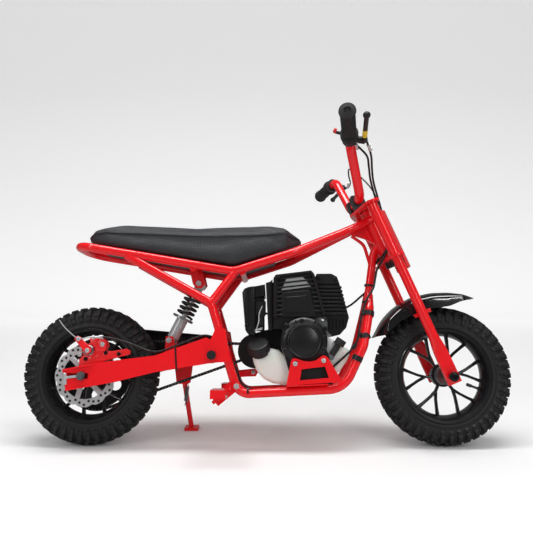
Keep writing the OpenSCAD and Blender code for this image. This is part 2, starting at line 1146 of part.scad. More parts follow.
module side_stand() {
    color("#c9151c")
        parked()
            difference() {
                union() {
                    at_stand()
                        translate([0, 0, 1])
                            cylinder(h = 10, r = 10);
                    rod(stand_pivot + [0, 6, -6], stand_foot, stand_d / 2);
                    translate(stand_foot)
                        rotate([lean, 0, 0])
                            translate([-16, -12, -7])
                                cube([34, 26, 8]);
                }
                at_stand()
                    translate([0, 0, -20])
                        cylinder(h = 60, r = 5 + run);
            }
}

front_tyre();
front_rim();
front_hub();
front_axle();
rear_tyre();
rear_rim();
rear_hub();
rear_sprocket();
brake_disc();
rear_axle();
fork_legs();
lower_clamp();
upper_clamp();
steering_stem();
front_fender();
fender_stays();
front_panel();
bar_clamps();
handlebar();
grips();
brake_levers();
switch_housing();
frame_head();
rail_right();
rail_left();
tail_loop();
cradle_right();
cradle_left();
frame_crossmembers();
footpeg_brackets();
footpegs();
swingarm();
pivot_bolt();
shock_body();
shock_spring();
chain();
chain_guard();
brake_caliper();
engine_block();
recoil_cover();
cylinder_shroud();
muffler_cover();
air_filter();
fuel_tank();
fuel_cap();
oil_filler();
gearbox();
front_sprocket();
engine_bracket_right();
engine_bracket_left();
seat_pad();
seat_base();
stand_bracket();
side_stand();
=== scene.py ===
import math

import bpy
import numpy as np
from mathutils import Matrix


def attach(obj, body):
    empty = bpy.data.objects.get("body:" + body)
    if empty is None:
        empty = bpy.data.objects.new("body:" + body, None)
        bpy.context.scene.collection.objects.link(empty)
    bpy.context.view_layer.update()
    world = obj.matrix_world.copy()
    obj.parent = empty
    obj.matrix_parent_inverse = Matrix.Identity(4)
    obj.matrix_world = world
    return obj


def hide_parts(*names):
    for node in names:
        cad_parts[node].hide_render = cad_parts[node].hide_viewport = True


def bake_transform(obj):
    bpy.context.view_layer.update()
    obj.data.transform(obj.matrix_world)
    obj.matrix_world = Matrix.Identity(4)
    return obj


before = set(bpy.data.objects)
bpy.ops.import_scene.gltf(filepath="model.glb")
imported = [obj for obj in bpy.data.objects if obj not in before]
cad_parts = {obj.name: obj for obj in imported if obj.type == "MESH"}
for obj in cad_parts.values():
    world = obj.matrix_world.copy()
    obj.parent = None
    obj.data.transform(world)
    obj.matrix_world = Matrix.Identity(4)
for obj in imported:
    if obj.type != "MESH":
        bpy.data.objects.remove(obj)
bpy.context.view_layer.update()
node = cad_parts

# Camera and studio.
# A level camera looks across the bike from its right side, at the height of the seat.
# The bike stands on a white sweep of paper, under soft lamps.

# the photograph's side and focal length in its own pixels, and the other lengths in metres
photo_side, focal = 533, 518.6
wheel_plane, distance = -0.110, 1.200
camera_data = bpy.data.cameras.new("camera")
camera_data.sensor_width = 36
camera_data.lens = focal / photo_side * camera_data.sensor_width
camera_data.clip_end = 50


def shown(name, data):
    """New object in the scene with this data."""
    thing = bpy.data.objects.new(name, data)
    bpy.context.collection.objects.link(thing)
    return thing


camera = shown("camera", camera_data)
camera.location = (0.0095, wheel_plane - distance, 0.4126)
camera.rotation_euler = (math.radians(90), 0, math.radians(0.46))
bpy.context.scene.camera = camera
bpy.context.scene.view_settings.view_transform = "Standard"


def shader(name, **sockets):
    """New material whose main shader has these sockets set, its node tree, and that shader."""
    material = bpy.data.materials.new(name)
    material.use_nodes = True
    main = material.node_tree.nodes["Principled BSDF"]
    for socket, value in sockets.items():
        main.inputs[socket.replace("_", " ")].default_value = value
    return material, material.node_tree, main


def new_node(tree, kind, operation=None, **sockets):
    """New shader node of this kind with these of its sockets set."""
    made = tree.nodes.new("ShaderNode" + kind)
    if operation:
        made.operation = operation
    for socket, value in sockets.items():
        made.inputs[socket.replace("_", " ")].default_value = value
    return made


def tie(tree, source, out, target, into):
    """Leads one node's output to another's input."""
    tree.links.new(source.outputs[out], target.inputs[into])


# the sweep: floor, quarter-round and wall, carried sideways
turn = np.linspace(0, math.pi / 2, 24)
run_out = np.concatenate([
    [[-6.0, 0.0], [2.5, 0.0]],
    np.stack([3.0 + 1.5 * np.sin(turn), 1.5 - 1.5 * np.cos(turn)], axis=1),
    [[4.5, 7.0]]])
across_x = (-20.0, 0.0, 20.0)
sweep_points = np.stack([np.insert(run_out, 0, x, axis=1) for x in across_x], axis=1)
index = np.arange(sweep_points.size // 3).reshape(-1, len(across_x))
corners = np.stack([index[:-1, :-1], index[1:, :-1], index[1:, 1:], index[:-1, 1:]], -1)
sweep_mesh = bpy.data.meshes.new("paper_sweep")
sweep_mesh.from_pydata(sweep_points.reshape(-1, 3).tolist(), [], corners.reshape(-1, 4).tolist())
sweep_mesh.polygons.foreach_set("use_smooth", [True] * len(sweep_mesh.polygons))
sweep = shown("paper_sweep", sweep_mesh)

# paper is white to the eye and grey in reflections; the far paper glows a little for the
# camera: glow = reach(y) * rise(z)
paper, tree, main = shader("paper", Roughness=0.9, Emission_Color=(1, 1, 1, 1))
ray = new_node(tree, "LightPath")
seen = new_node(tree, "Mix")
seen.data_type = "RGBA"
seen.inputs[6].default_value = (0.84, 0.84, 0.84, 1)
seen.inputs[7].default_value = (0.30, 0.30, 0.30, 1)
tie(tree, ray, "Is Glossy Ray", seen, 0)
tie(tree, seen, 2, main, "Base Color")
split = new_node(tree, "SeparateXYZ")
tie(tree, new_node(tree, "TexCoord"), "Object", split, 0)
glow = ray.outputs["Is Camera Ray"]
for axis, low, high, first, last in (("Y", 0.4, 2.6, 0.0, 1.0), ("Z", 0.1, 2.4, 0.44, 0.27)):
    part = new_node(tree, "MapRange", From_Min=low, From_Max=high, To_Min=first, To_Max=last)
    times = new_node(tree, "Math", "MULTIPLY")
    tie(tree, split, axis, part, "Value")
    tree.links.new(glow, times.inputs[0])
    tie(tree, part, "Result", times, 1)
    glow = times.outputs[0]
tree.links.new(glow, main.inputs["Emission Strength"])
sweep_mesh.materials.append(paper)

# the sky is white, and dark in reflections
world = bpy.data.worlds.new("studio")
bpy.context.scene.world = world
world.use_nodes = True
tree = world.node_tree
sky = tree.nodes["Background"]
sky.inputs["Color"].default_value = (1, 1, 1, 1)
ray = new_node(tree, "LightPath")
gloss = new_node(tree, "MapRange", To_Min=0.52, To_Max=0.08)
plain = new_node(tree, "Math", "MULTIPLY_ADD")
plain.inputs[1].default_value = 0.32
tie(tree, ray, "Is Glossy Ray", gloss, "Value")
tie(tree, ray, "Is Camera Ray", plain, 0)
tie(tree, gloss, "Result", plain, 2)
tie(tree, plain, 0, sky, "Strength")


def lamp(name, place, aim, size, power):
    """Oblong area lamp at place, turned to face aim."""
    data = bpy.data.lights.new(name, "AREA")
    data.shape = "RECTANGLE"
    data.size, data.size_y = size
    data.energy = power
    thing = shown(name, data)
    direction = np.array(aim) - np.array(place)
    yaw = math.atan2(direction[1], direction[0]) - math.pi / 2
    tip = math.atan2(math.hypot(direction[0], direction[1]), -direction[2])
    thing.location = place
    thing.rotation_euler = (tip, 0, yaw)


lamp("overhead", (0.0, -0.2, 2.4), (0, 0, 0.2), (2.4, 0.5), 46)
lamp("front_strip", (1.3, -2.2, 1.9), (0, 0, 0.4), (0.10, 1.8), 13)
lamp("rear_strip", (-1.7, -2.0, 1.8), (0, 0, 0.4), (0.10, 1.8), 10)

# Painted steel of the frame and fork.
# Bright red stove enamel over welded steel tube. The colour is even, with a deep gloss.
# A faint orange peel shows in the reflections.


def grained(name, slot, colour, roughness, metallic=0.0, grain=300, depth=0.15, reach=0.0004,
            drift=0.08, patch=14, **more):
    """Material with a fine noise grain in its bump and a slow drift in its roughness; the slot argument is
    not used.
    """
    material, tree, main = shader(
        name, Base_Color=(*colour, 1), Roughness=roughness, Metallic=metallic, **more)
    place = new_node(tree, "TexCoord")
    fine = new_node(tree, "TexNoise", Scale=grain)
    bump = new_node(tree, "Bump", Strength=depth, Distance=reach)
    slow = new_node(tree, "TexNoise", Scale=patch)
    span = new_node(tree, "MapRange", To_Min=max(roughness - drift, 0.02),
                    To_Max=min(roughness + drift, 1))
    tie(tree, place, "Object", fine, "Vector")
    tie(tree, place, "Object", slow, "Vector")
    tie(tree, fine, "Fac", bump, "Height")
    tie(tree, bump, "Normal", main, "Normal")
    tie(tree, slow, "Fac", span, "Value")
    tie(tree, span, "Result", main, "Roughness")
    return material


def finish_node(material, *names):
    """Gives these carried-over nodes the material."""
    for name in names:
        node[name].data.materials.clear()
        node[name].data.materials.append(material)


enamel = grained("red_enamel", "red_paint", (0.80, 0.004, 0.009), 0.22, grain=260, depth=0.03,
                 reach=0.0005, drift=0.05, patch=9, Coat_Weight=0.6, Coat_Roughness=0.06)
finish_node(
    enamel, "frame_head", "rail_right", "rail_left", "tail_loop", "cradle_right",
    "cradle_left", "frame_crossmembers", "footpeg_brackets", "footpegs", "fork_legs",
    "lower_clamp", "upper_clamp", "front_panel", "fender_stays", "handlebar",
    "swingarm", "brake_caliper", "engine_bracket_right", "engine_bracket_left",
    "stand_bracket", "side_stand")

# Metals, plastics and rubber.
# Cast, plated and oiled metal, moulded plastic and rubber, each with a grain of its own.
# The plain pieces from the frame take them as they are.

cast_black = grained("cast_black", "black_cast_wheel", (0.012, 0.012, 0.013), 0.38, grain=500,
                     depth=0.1)
finish_node(cast_black, "front_rim", "rear_rim")
steel = grained("plain_steel", "bare_steel", (0.42, 0.43, 0.44), 0.33, metallic=1.0, grain=700,
                depth=0.08)
finish_node(steel, "front_hub", "rear_hub", "rear_axle", "brake_disc")
bright_steel = grained("bright_steel", "bare_steel", (0.60, 0.61, 0.62), 0.32, metallic=0.5,
                       grain=700, depth=0.06)
finish_node(bright_steel, "shock_body")
dark_steel = grained("blackened_steel", "dark_steel", (0.05, 0.05, 0.052), 0.36, metallic=0.7,
                     grain=500)
finish_node(dark_steel, "front_axle", "rear_sprocket", "front_sprocket", "chain", "pivot_bolt",
            "steering_stem", "shock_spring")
tyre_rubber = grained("tyre_rubber", "tyre_rubber", (0.022, 0.022, 0.023), 0.72, grain=900,
                      depth=0.3)
finish_node(tyre_rubber, "front_tyre", "rear_tyre")
black_plastic = grained("moulded_black", "black_plastic", (0.014, 0.014, 0.015), 0.42,
                        grain=1500, depth=0.25)
finish_node(black_plastic, "recoil_cover", "cylinder_shroud", "muffler_cover", "air_filter",
            "fuel_cap", "oil_filler", "gearbox", "seat_base", "brake_levers", "switch_housing",
            "bar_clamps", "chain_guard", "grips")
gloss_black = grained("gloss_black", "black_gloss", (0.008, 0.008, 0.009), 0.12, grain=60,
                      depth=0.02, Coat_Weight=0.5)
finish_node(gloss_black, "front_fender")
tank_white = grained("tank_white", "white_tank", (0.80, 0.78, 0.73), 0.45, grain=700, depth=0.1,
                     Subsurface_Weight=0.3)
finish_node(tank_white, "fuel_tank")
cast_grey = grained("cast_grey", "cast_engine", (0.16, 0.165, 0.17), 0.5, metallic=0.6,
                    grain=400, depth=0.3)
finish_node(cast_grey, "engine_block")

# half the wheelbase, the axles' height, the lean and the foot of the turn, in mm and degrees
axle_x, axle_z = 411, 159
lean_angle, roll_z, shift_y = 9.7, 33, -110


def bike(points):
    """World metres of points in the bike's own mm: x forward, y left, z up, before it leans.

    y' = y cos L + z' sin L and z' = z cos L - y sin L, about the line on which the tyre crowns roll."""
    points = np.asarray(points, float)
    lean = math.radians(lean_angle)
    y, z = points[..., 1], points[..., 2] - roll_z
    return np.stack([
        points[..., 0],
        y * math.cos(lean) + z * math.sin(lean) + shift_y,
        z * math.cos(lean) - y * math.sin(lean) + roll_z], axis=-1) / 1000


def make(name, points, faces, material, body="frame_body", sharp=32):
    """Piece from points and faces, outward by its volume's sign; edges over sharp degrees crisp."""
    mesh = bpy.data.meshes.new(name)
    mesh.from_pydata(points.reshape(-1, 3).tolist(), [], faces)
    mesh.calc_loop_triangles()
    corner = np.empty(len(mesh.loop_triangles) * 3, np.int32)
    mesh.loop_triangles.foreach_get("vertices", corner)
    p, q, r = points.reshape(-1, 3)[corner].reshape(-1, 3, 3).transpose(1, 0, 2)
    if np.sum(p * np.cross(q, r)) < 0:
        mesh.flip_normals()
    mesh.polygons.foreach_set("use_smooth", [True] * len(mesh.polygons))
    mesh.set_sharp_from_angle(angle=math.radians(sharp))
    mesh.materials.append(material)
    thing = shown(name, mesh)
    if body:
        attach(thing, body)
    return thing


def solid(name, rings, material, body="frame_body", closed=False, sharp=32):
    """Piece of n solids from rings, shape (n, k, s, 3): quads join the rings, and flat caps end each.

    A closed solid joins its last ring to its first."""
    n, k, s = rings.shape[:3]
    index = np.arange(n * k * s).reshape(n, k, s)
    low = index if closed else index[:, :-1]
    high = np.roll(index, -1, 1) if closed else index[:, 1:]
    faces = np.stack([low, np.roll(low, -1, 2), np.roll(high, -1, 2), high], -1)
    faces = faces.reshape(-1, 4).tolist()
    if not closed:
        faces += index[:, 0, ::-1].tolist() + index[:, -1].tolist()
    return make(name, rings, faces, material, body, sharp)


def unit(way):
    """The same directions at length 1."""
    return way / np.linalg.norm(way, axis=-1, keepdims=True)


def frames(way):
    """Unit directions square to way and to each other: (first, second, way) is right-handed."""
    way = unit(way)
    guide = np.where(np.abs(way[..., 1:2]) < 0.8, [0.0, 1.0, 0.0], [1.0, 0.0, 0.0])
    first = unit(np.cross(guide, way))
    return first, np.cross(way, first), way


def circle(u, v, sides):
    """Offsets round a circle: u cos t + v sin t, for even angles t."""
    t = np.arange(sides)[:, None] * 2 * math.pi / sides
    return u[..., None, :] * np.cos(t) + v[..., None, :] * np.sin(t)


def turned(profile, bases, ways, sides=24):
    """Rings of turned pieces: base + r (u cos t + v sin t) + h w for each (r, h) of the profile."""
    profile, bases, ways = (np.asarray(v, float) for v in (profile, bases, ways))
    u, v, w = frames(ways)
    return bike(bases[:, None, None] + circle(u, v, sides)[:, None] * profile[None, :, :1, None]
                + w[:, None, None] * profile[None, :, 1:, None])


def smooth_route(route, step=4.0):
    """Catmull-Rom curve through the points of the route, about step mm apart."""
    p = np.asarray(route, float)
    p = np.vstack([2 * p[0] - p[1], p, 2 * p[-1] - p[-2]])
    out = []
    for a, b, c, d in zip(p[:-3], p[1:-2], p[2:-1], p[3:]):
        count = max(2, int(np.linalg.norm(c - b) / step))
        t = np.arange(count)[:, None] / count
        out.append(0.5 * (2 * b + (c - a) * t + (2 * a - 5 * b + 4 * c - d) * t ** 2
                          + (3 * b - a - 3 * c + d) * t ** 3))
    return np.vstack(out + [p[-2:-1]])


def tube_rings(route, radius, sides=14, step=4.0, spline=True):
    """Rings of a tube: centre + r (u cos t + v sin t), with u carried along the route without twist."""
    line = smooth_route(route, step) if spline else np.asarray(route, float)
    way = unit(np.gradient(line, axis=0))
    u = np.empty_like(line)
    u[0] = frames(way[:1])[0][0]
    for i in range(1, len(line)):
        u[i] = unit(u[i - 1] - way[i] * np.dot(way[i], u[i - 1]))
    return bike(line[:, None] + radius * circle(u, np.cross(way, u), sides))[None]


# Cables.
# Steel cables in black plastic sheaths run from the levers down past the neck.
# One goes on to the rear caliper and one to the carburettor; clips and ties hold them.

sheath = grained("cable_sheath", "black_plastic", (0.012, 0.012, 0.013), 0.34, grain=900, depth=0.1)
silver = grained("bright_zinc", "bare_steel", (0.68, 0.69, 0.70), 0.28, metallic=0.55, grain=600, depth=0.1)

brake_low = [
    [263, -20, 405], [258, -25, 385], [252, -29, 362], [238, -34, 340], [226, -38, 314],
    [218, -44, 288], [212, -49, 260], [206, -50, 236], [191, -50, 215], [168, -50, 194],
    [148, -50, 177], [124, -50, 162], [100, -49, 149], [77, -46, 136.5], [46, -44, 129],
    [8, -42, 127], [-30, -42, 128], [-55, -43, 141], [-65, -45, 165], [-74, -46, 184],
    [-84, -47, 206], [-97, -49, 229], [-118, -56, 243], [-140, -62, 249],
    [-165, -64, 242], [-201, -64, 227], [-252, -62, 212], [-305, -62, 229],
    [-340, -62, 240], [-373, -64, 245.5]]
throttle_low = [
    [262, 16, 405], [256, 15, 385], [246, 14, 362], [228, 16, 345], [205, 34, 326],
    [180, 48, 318], [130, 50, 324], [80, 50, 322], [40, 50, 310], [8, 46, 306],
    [-8, 24, 308], [-11, 6.6, 310]]
brake_high = [
    [220.1, -164.2, 671.4], [225, -158, 666], [238, -125, 652], [246, -90, 636],
    [256, -50, 620], [268, -22, 600], [277, -10, 578], [284, -7, 552], [291, -10, 526],
    [299, -17, 500], [300, -28, 475], [291, -34, 455], [285, -34, 446]]
throttle_high = [
    [197.5, -157.3, 669.2], [202, -147, 668], [214, -134, 664], [232, -110, 656],
    [240, -84, 641], [250, -46, 625], [262, -17, 605], [272, -4, 580], [279, -1, 553],
    [287, -4, 527], [295, -11, 502], [296, -22, 477], [288, -27, 457], [282, -27, 447]]
left_high = [
    [220.1, 164.2, 671.4], [228, 157, 670], [231, 138, 677], [221, 100, 687],
    [218, 62, 689], [240, 36, 660], [262, 12, 622], [272, 3, 594], [279, 5, 566],
    [286, 6, 540]]
for label, route, radius, body in (
        ("brake_cable_low", brake_low, 2.5, "frame_body"),
        ("throttle_cable_low", throttle_low, 2.5, "frame_body"),
        ("brake_cable_high", brake_high, 2.5, "fork_body"),
        ("throttle_cable_high", throttle_high, 2.5, "fork_body"),
        ("left_cable", left_high, 2.0, "fork_body")):
    solid(label, tube_rings(route, radius), sheath, body)

# the short lengths past the neck, from the cables on the bars to those on the frame; they are attached to
# neither
for label, route, radius in (
        ("brake_cable_neck", [brake_high[-2], brake_high[-1], [274, -30, 425], brake_low[0],
                              brake_low[1]], 2.5),
        ("throttle_cable_neck", [throttle_high[-2], throttle_high[-1], [272, -16, 432],
                                 [262, 4, 420], throttle_low[0], throttle_low[1]], 2.5),
        ("left_cable_neck", [left_high[-2], left_high[-1], [294, 8, 510], [296, 16, 480],
                             [284, 24, 450], [266, 21, 425], throttle_low[1]], 2.0)):
    neck = solid(label, tube_rings(route, radius, step=3.0), sheath, body="")
    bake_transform(neck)

# adjusters: knurled barrels and rubber boots where the sheaths end
solid("cable_adjusters", turned(
    [[2.6, 0], [4.2, 1], [4.2, 7], [3.3, 8], [3.3, 13], [4.6, 14], [4.6, 19], [2.7, 20]],
    [[225, -158, 666], [199, -153, 668.8], [227, 157, 670]],
    [[0.45, 0.85, -0.36], [0.36, 0.93, -0.15], [0.05, -0.9, 0.42]], 18),
    silver, "fork_body")
solid("caliper_adjuster", turned(
    [[2.6, 0], [4.4, 1], [4.4, 8], [3.2, 9], [3.2, 18], [5.2, 18.5], [5.2, 22], [1, 23]],
    [[-371, -64, 245.5]], [[-0.98, -0.12, -0.06]], 18), silver)
solid("inner_wire", tube_rings(
    [[-390, -66.3, 244.4], [-408, -68.5, 242.6], [-424, -70.6, 241.5], [-434, -71, 247],
     [-456, -70.5, 266], [-470, -70, 283]], 1.1, 8),
    silver)


def band(centres, ways, inner, wall, width, sides=20):
    """Rings of open bands: a rectangle of the given wall and width turned about each way."""
    outer = inner + wall
    return turned([[outer, -width / 2], [outer, width / 2], [inner, width / 2],
                   [inner, -width / 2]], centres, ways, sides)


solid("cable_clips", np.concatenate([
    band([[237.5, -38.5, 300], [225, -50.5, 247], [205, -57, 198]],
         [[0.2, 0.25, 0.95], [0.25, -0.3, -0.95], [-0.44, 0, -0.9]], 10.1, 2.2, 12),
    band([[225, -41, 303], [213.5, -47.5, 252], [200, -51, 225]],
         [[-0.4, -0.2, -0.9], [-0.25, -0.2, -0.95], [-0.5, 0, -0.86]], 2.7, 2.2, 12)]),
    sheath, closed=True)
solid("zip_ties", band(
    [[247, 0, 371], [240, 0, 330], [-41, -57.5, 124]],
    [[0.1, 0, 0.99], [0.1, 0, 0.99], [1, 0, 0.05]],
    10.2, 1.1, 4.5), sheath, closed=True)

# Seat.
# A long foam pad under stretched vinyl with a woven grain, on a hidden pan.
# It swells under its cover, and a welt runs round its upper edge.

seat_vinyl, tree, main = shader("woven_vinyl", Base_Color=(0.03, 0.032, 0.036, 1), Roughness=0.5)
place = new_node(tree, "TexCoord")
crossed = new_node(tree, "Math", "MAXIMUM")
threads, rows_up = 1848.0, 620.0
for strand, across in enumerate((threads, -threads)):
    spun = new_node(tree, "VectorMath", "DOT_PRODUCT")
    spun.inputs[1].default_value = (threads, across, rows_up)
    wave = new_node(tree, "Math", "SINE")
    tie(tree, place, "Object", spun, 0)
    tie(tree, spun, "Value", wave, 0)
    tie(tree, wave, 0, crossed, strand)
bump = new_node(tree, "Bump", Strength=0.5, Distance=0.0006)
tone = new_node(tree, "MapRange", From_Min=-1, To_Min=0.62, To_Max=0.42)
tie(tree, crossed, 0, bump, "Height")
tie(tree, bump, "Normal", main, "Normal")
tie(tree, crossed, 0, tone, "Value")
tie(tree, tone, "Result", main, "Roughness")

cushion_mesh = node["seat_pad"].data.copy()
cushion_mesh.transform(node["seat_pad"].matrix_world)
cushion_mesh.materials.clear()
cushion_mesh.materials.append(seat_vinyl)
cushion = shown("seat_cushion", cushion_mesh)


def bake(thing):
    """Replaces the object's mesh by what its modifiers make of it, and drops the modifiers."""
    made = bpy.data.meshes.new_from_object(
        thing.evaluated_get(bpy.context.evaluated_depsgraph_get()))
    thing.modifiers.clear()
    thing.data = made


def points_of(thing):
    """The object's vertices, shape (count, 3)."""
    flat = np.empty(len(thing.data.vertices) * 3)
    thing.data.vertices.foreach_get("co", flat)
    return flat.reshape(-1, 3)


remesh = cushion.modifiers.new("remesh", "REMESH")
remesh.mode = "VOXEL"
remesh.voxel_size = 0.006
bake(cushion)
rest = points_of(cushion)
lean_up = unit(bike([0, 0, 1]) - bike([0, 0, 0]))
normals = np.empty(rest.size)
cushion.data.vertices.foreach_get("normal", normals)
normals = normals.reshape(-1, 3)
start = rest - normals * 0.003 * (1 - (normals @ lean_up < -0.6))[:, None]
cushion.data.vertices.foreach_set("co", start.ravel())
held = cushion.vertex_groups.new(name="held")
held.add(np.nonzero(normals @ lean_up < -0.75)[0].tolist(), 1.0, "REPLACE")
cloth = cushion.modifiers.new("cloth", "CLOTH")
fabric = cloth.settings
fabric.quality, fabric.mass = 6, 0.4
fabric.tension_stiffness, fabric.compression_stiffness = 12, 8
fabric.use_pressure, fabric.uniform_pressure_force = True, 4
fabric.effector_weights.gravity = 0
fabric.vertex_group_mass = "held"
cloth.point_cache.frame_start = 1
cloth.point_cache.frame_end = 20
for step in range(1, 21):
    bpy.context.scene.frame_set(step)
bake(cushion)
bpy.context.scene.frame_set(1)
moved = points_of(cushion) - rest
far = np.linalg.norm(moved, axis=1, keepdims=True)
cushion.data.vertices.foreach_set(
    "co", (rest + moved * np.minimum(1, 0.009 / np.maximum(far, 1e-9))).ravel())
smoother = cushion.modifiers.new("smoother", "SMOOTH")
smoother.iterations = 6
rounder = cushion.modifiers.new("rounder", "SUBSURF")
rounder.levels = rounder.render_levels = 1
bake(cushion)
cushion.data.polygons.foreach_set("use_smooth", [True] * len(cushion.data.polygons))
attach(cushion, "frame_body")
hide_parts("seat_pad")

# the welt: a cord in a strip of the cover, sewn round under the crown
seat_line = np.array([
    [-429, 34, 482], [-408, 58, 487], [-376, 67, 491], [-300, 72, 488], [-230, 77, 485],
    [-165, 80, 481], [-76, 82, 481], [-10, 78, 485], [45, 70, 489], [70, 50, 482],
    [86, 30, 475]], float)
loop = np.vstack([seat_line, seat_line[::-1] * [1, -1, 1]])
loop = smooth_route(np.vstack([loop, loop[:1]]), 7.0)[:-1]
snapped = []
for point in bike(loop):
    hit, spot, normal, face = cushion.closest_point_on_mesh(point.tolist())
    snapped.append(np.array(spot) + 0.0006 * np.array(normal))
snapped = np.array(snapped)
for _ in range(3):
    snapped = (np.roll(snapped, 1, 0) + 2 * snapped + np.roll(snapped, -1, 0)) / 4
way = np.roll(snapped, -1, 0) - np.roll(snapped, 1, 0)
out, up, way = frames(way)
welt_radius = 0.0024
welt_rings = snapped[:, None] + welt_radius * circle(out, up, 8)
solid("seat_welt", welt_rings[None], seat_vinyl, closed=True)

# Front mudguard.
# A moulded shell of gloss black plastic arches over the tyre, from a low rear tip
# to a point ahead of the fork. Its skirts hang beside the tread.

guard_top = np.array([
    [-157, 248], [-140, 282], [-118, 308], [-98, 324], [-66, 342], [-21, 352],
    [19, 353], [54, 348], [80, 340]], float)
guard_low = np.array([
    [-157, 247], [-137, 251], [-100, 284], [-50, 309], [14, 318], [40, 329], [70, 337],
    [80, 339]], float)
guard_x = np.linspace(-157, 80, 60)
top_z = np.interp(guard_x, guard_top[:, 0], guard_top[:, 1])
top_z = np.convolve(np.pad(top_z, 2, mode="reflect", reflect_type="odd"), np.ones(5) / 5, "valid")
low_z = np.minimum(np.interp(guard_x, guard_low[:, 0], guard_low[:, 1]), top_z - 1)
half_width = 46 * np.clip((guard_x + 172) / 40, 0.55, 1) * np.clip((98 - guard_x) / 50, 0.4, 1)
phi = np.linspace(-math.pi / 2, math.pi / 2, 33)


def guard_shell(inset):
    """Arch over the tyre: y = w sgn(sin p) |sin p|^0.75, z = low + (top - low) cos(p)^0.55."""
    y = (half_width[:, None] - inset) * np.sign(np.sin(phi)) * np.abs(np.sin(phi)) ** 0.75
    z = low_z[:, None] + (top_z - inset - low_z)[:, None] * np.cos(phi) ** 0.55
    x = np.broadcast_to(axle_x + guard_x[:, None], y.shape)
    return np.stack([x, y, z], axis=-1)


guard_rings = np.concatenate([guard_shell(0), guard_shell(2.2)[:, ::-1]], axis=1)
fender = solid("fender_shell", bike(guard_rings)[None], gloss_black, "fork_body", sharp=50)
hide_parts("front_fender")

# Handlebar parts.
# Ribbed rubber grips with a flange, a ball at each lever's end, a yellow band on the
# right lever, and a stop switch with a red button.

grip_rubber = grained("grip_rubber", "grip_rubber", (0.016, 0.016, 0.017), 0.62, grain=700, depth=0.25)
bar_way = unit(np.array([-28.0, -151.0, 8.0]))
bar_end = np.array([162.0, -281.0, 684.0])
mirror = np.array([1.0, -1.0, 1.0])
ribs = [[11.3, 0], [19.5, 0], [20, 1], [20, 3], [19.5, 4], [15.5, 5]]
for rib in range(11):
    at = 8 + rib * 7.6
    ribs += [[15.2, at], [15.9, at + 1], [15.9, at + 5], [15.2, at + 6]]
ribs += [[15.6, 95], [17.6, 96], [18, 98], [17.6, 101], [8, 102.5], [7, 100]]
grip = solid("grip_sleeves", np.concatenate([
    turned(ribs, [bar_end - bar_way * 99], [bar_way], 32),
    turned(ribs, [(bar_end - bar_way * 99) * mirror], [bar_way * mirror], 32)]),
    grip_rubber, "fork_body", sharp=28)
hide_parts("grips")

lever_tip = np.array([199.7, -284.0, 673.8])
lever_way = unit(np.array([-14.0, -102.0, 2.0]))
ball = [[3, -6.5], [6, -5], [7.4, -2], [7.6, 1], [6.4, 4], [3.4, 6.6], [0.6, 7.4]]
solid("lever_balls", np.concatenate([
    turned(ball, [lever_tip], [lever_way], 20),
    turned(ball, [lever_tip * mirror], [lever_way * mirror], 20)]),
    black_plastic, "fork_body")
yellow = grained("yellow_band", "black_plastic", (0.75, 0.52, 0.02), 0.4, grain=400, depth=0.05)
solid("lever_band", turned(
    [[5.2, 0], [5.5, 0.3], [5.5, 31.7], [5.2, 32]],
    [lever_tip - lever_way * 96], [lever_way], 24), yellow, "fork_body")
button_red = grained("button_red", "black_plastic", (0.62, 0.02, 0.02), 0.35, grain=400, depth=0.05)
seat_point = bar_end - bar_way * 105
solid("stop_button", turned(
    [[5.6, -2], [5.6, 3], [5.0, 4], [3.5, 4.6], [0.8, 4.9]],
    [seat_point + np.array([-30, 0, 10])], [[-0.93, -0.1, 0.33]], 24), button_red, "fork_body")
solid("switch_rings", turned(
    [[19.1, 0], [19.8, 0.6], [19.8, 2.4], [19.1, 3], [18.4, 2.4], [18.4, 0.6]],
    [seat_point - bar_way * 4, seat_point + bar_way * 1], [bar_way, bar_way], 32),
    black_plastic, "fork_body", closed=True)

# Springs.
# Round wire wound cold: the shock absorber's coil is black, the stand's is bright.


def coil(base, way, radius, turns, length, steps=18):
    """Helix: base + r (u cos a + v sin a) + w L a / (2 pi turns), a from 0 to 2 pi turns."""
    u, v, w = frames(np.asarray([way], float))
    a = np.linspace(0, 2 * math.pi * turns, int(turns * steps) + 1)[:, None]
    return (np.asarray(base, float) + radius * (u * np.cos(a) + v * np.sin(a))
            + w * length * a / (2 * math.pi * turns))


shock_low = np.array([-227.0, 0.0, 238.7])
shock_way = unit(np.array([66.0, 0.0, 133.3]))
shock_coil = solid("shock_coil", tube_rings(
    coil(shock_low + shock_way * 65.5, shock_way, 19, 5, 55.5, 24), 3.2, 12, spline=False),
    dark_steel)
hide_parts("shock_spring")
solid("shock_seats", turned(
    [[12, 0], [23, 0.4], [26, 2], [26, 5], [23.5, 6.4], [12, 6.8]],
    [shock_low + shock_way * 55.6, shock_low + shock_way * 124], [shock_way] * 2, 40),
    steel)

stand_top, stand_low = np.array([-198.5, 79, 127]), np.array([-201.5, 79.5, 92])
solid("stand_coil", tube_rings(
    coil(stand_low, stand_top - stand_low, 4.1, 15, 35.1, 12), 1.1, 8, spline=False),
    steel, "stand_leg")
for label, route in (
        ("top", [stand_top + [4, 0, 0], [-197, 79.2, 132], [-195.7, 79.5, 144], [-195.3, 79.6, 151]]),
        ("low", [stand_low + [4, 0, 0], [-202.5, 81, 87], [-204, 82, 80.8]])):
    solid("stand_hook_" + label, tube_rings(route, 1.1, 8, step=2.0), steel, "stand_leg")

# Chain.
# A small roller chain of 8 mm pitch, with straight-sided plates, in black oil.

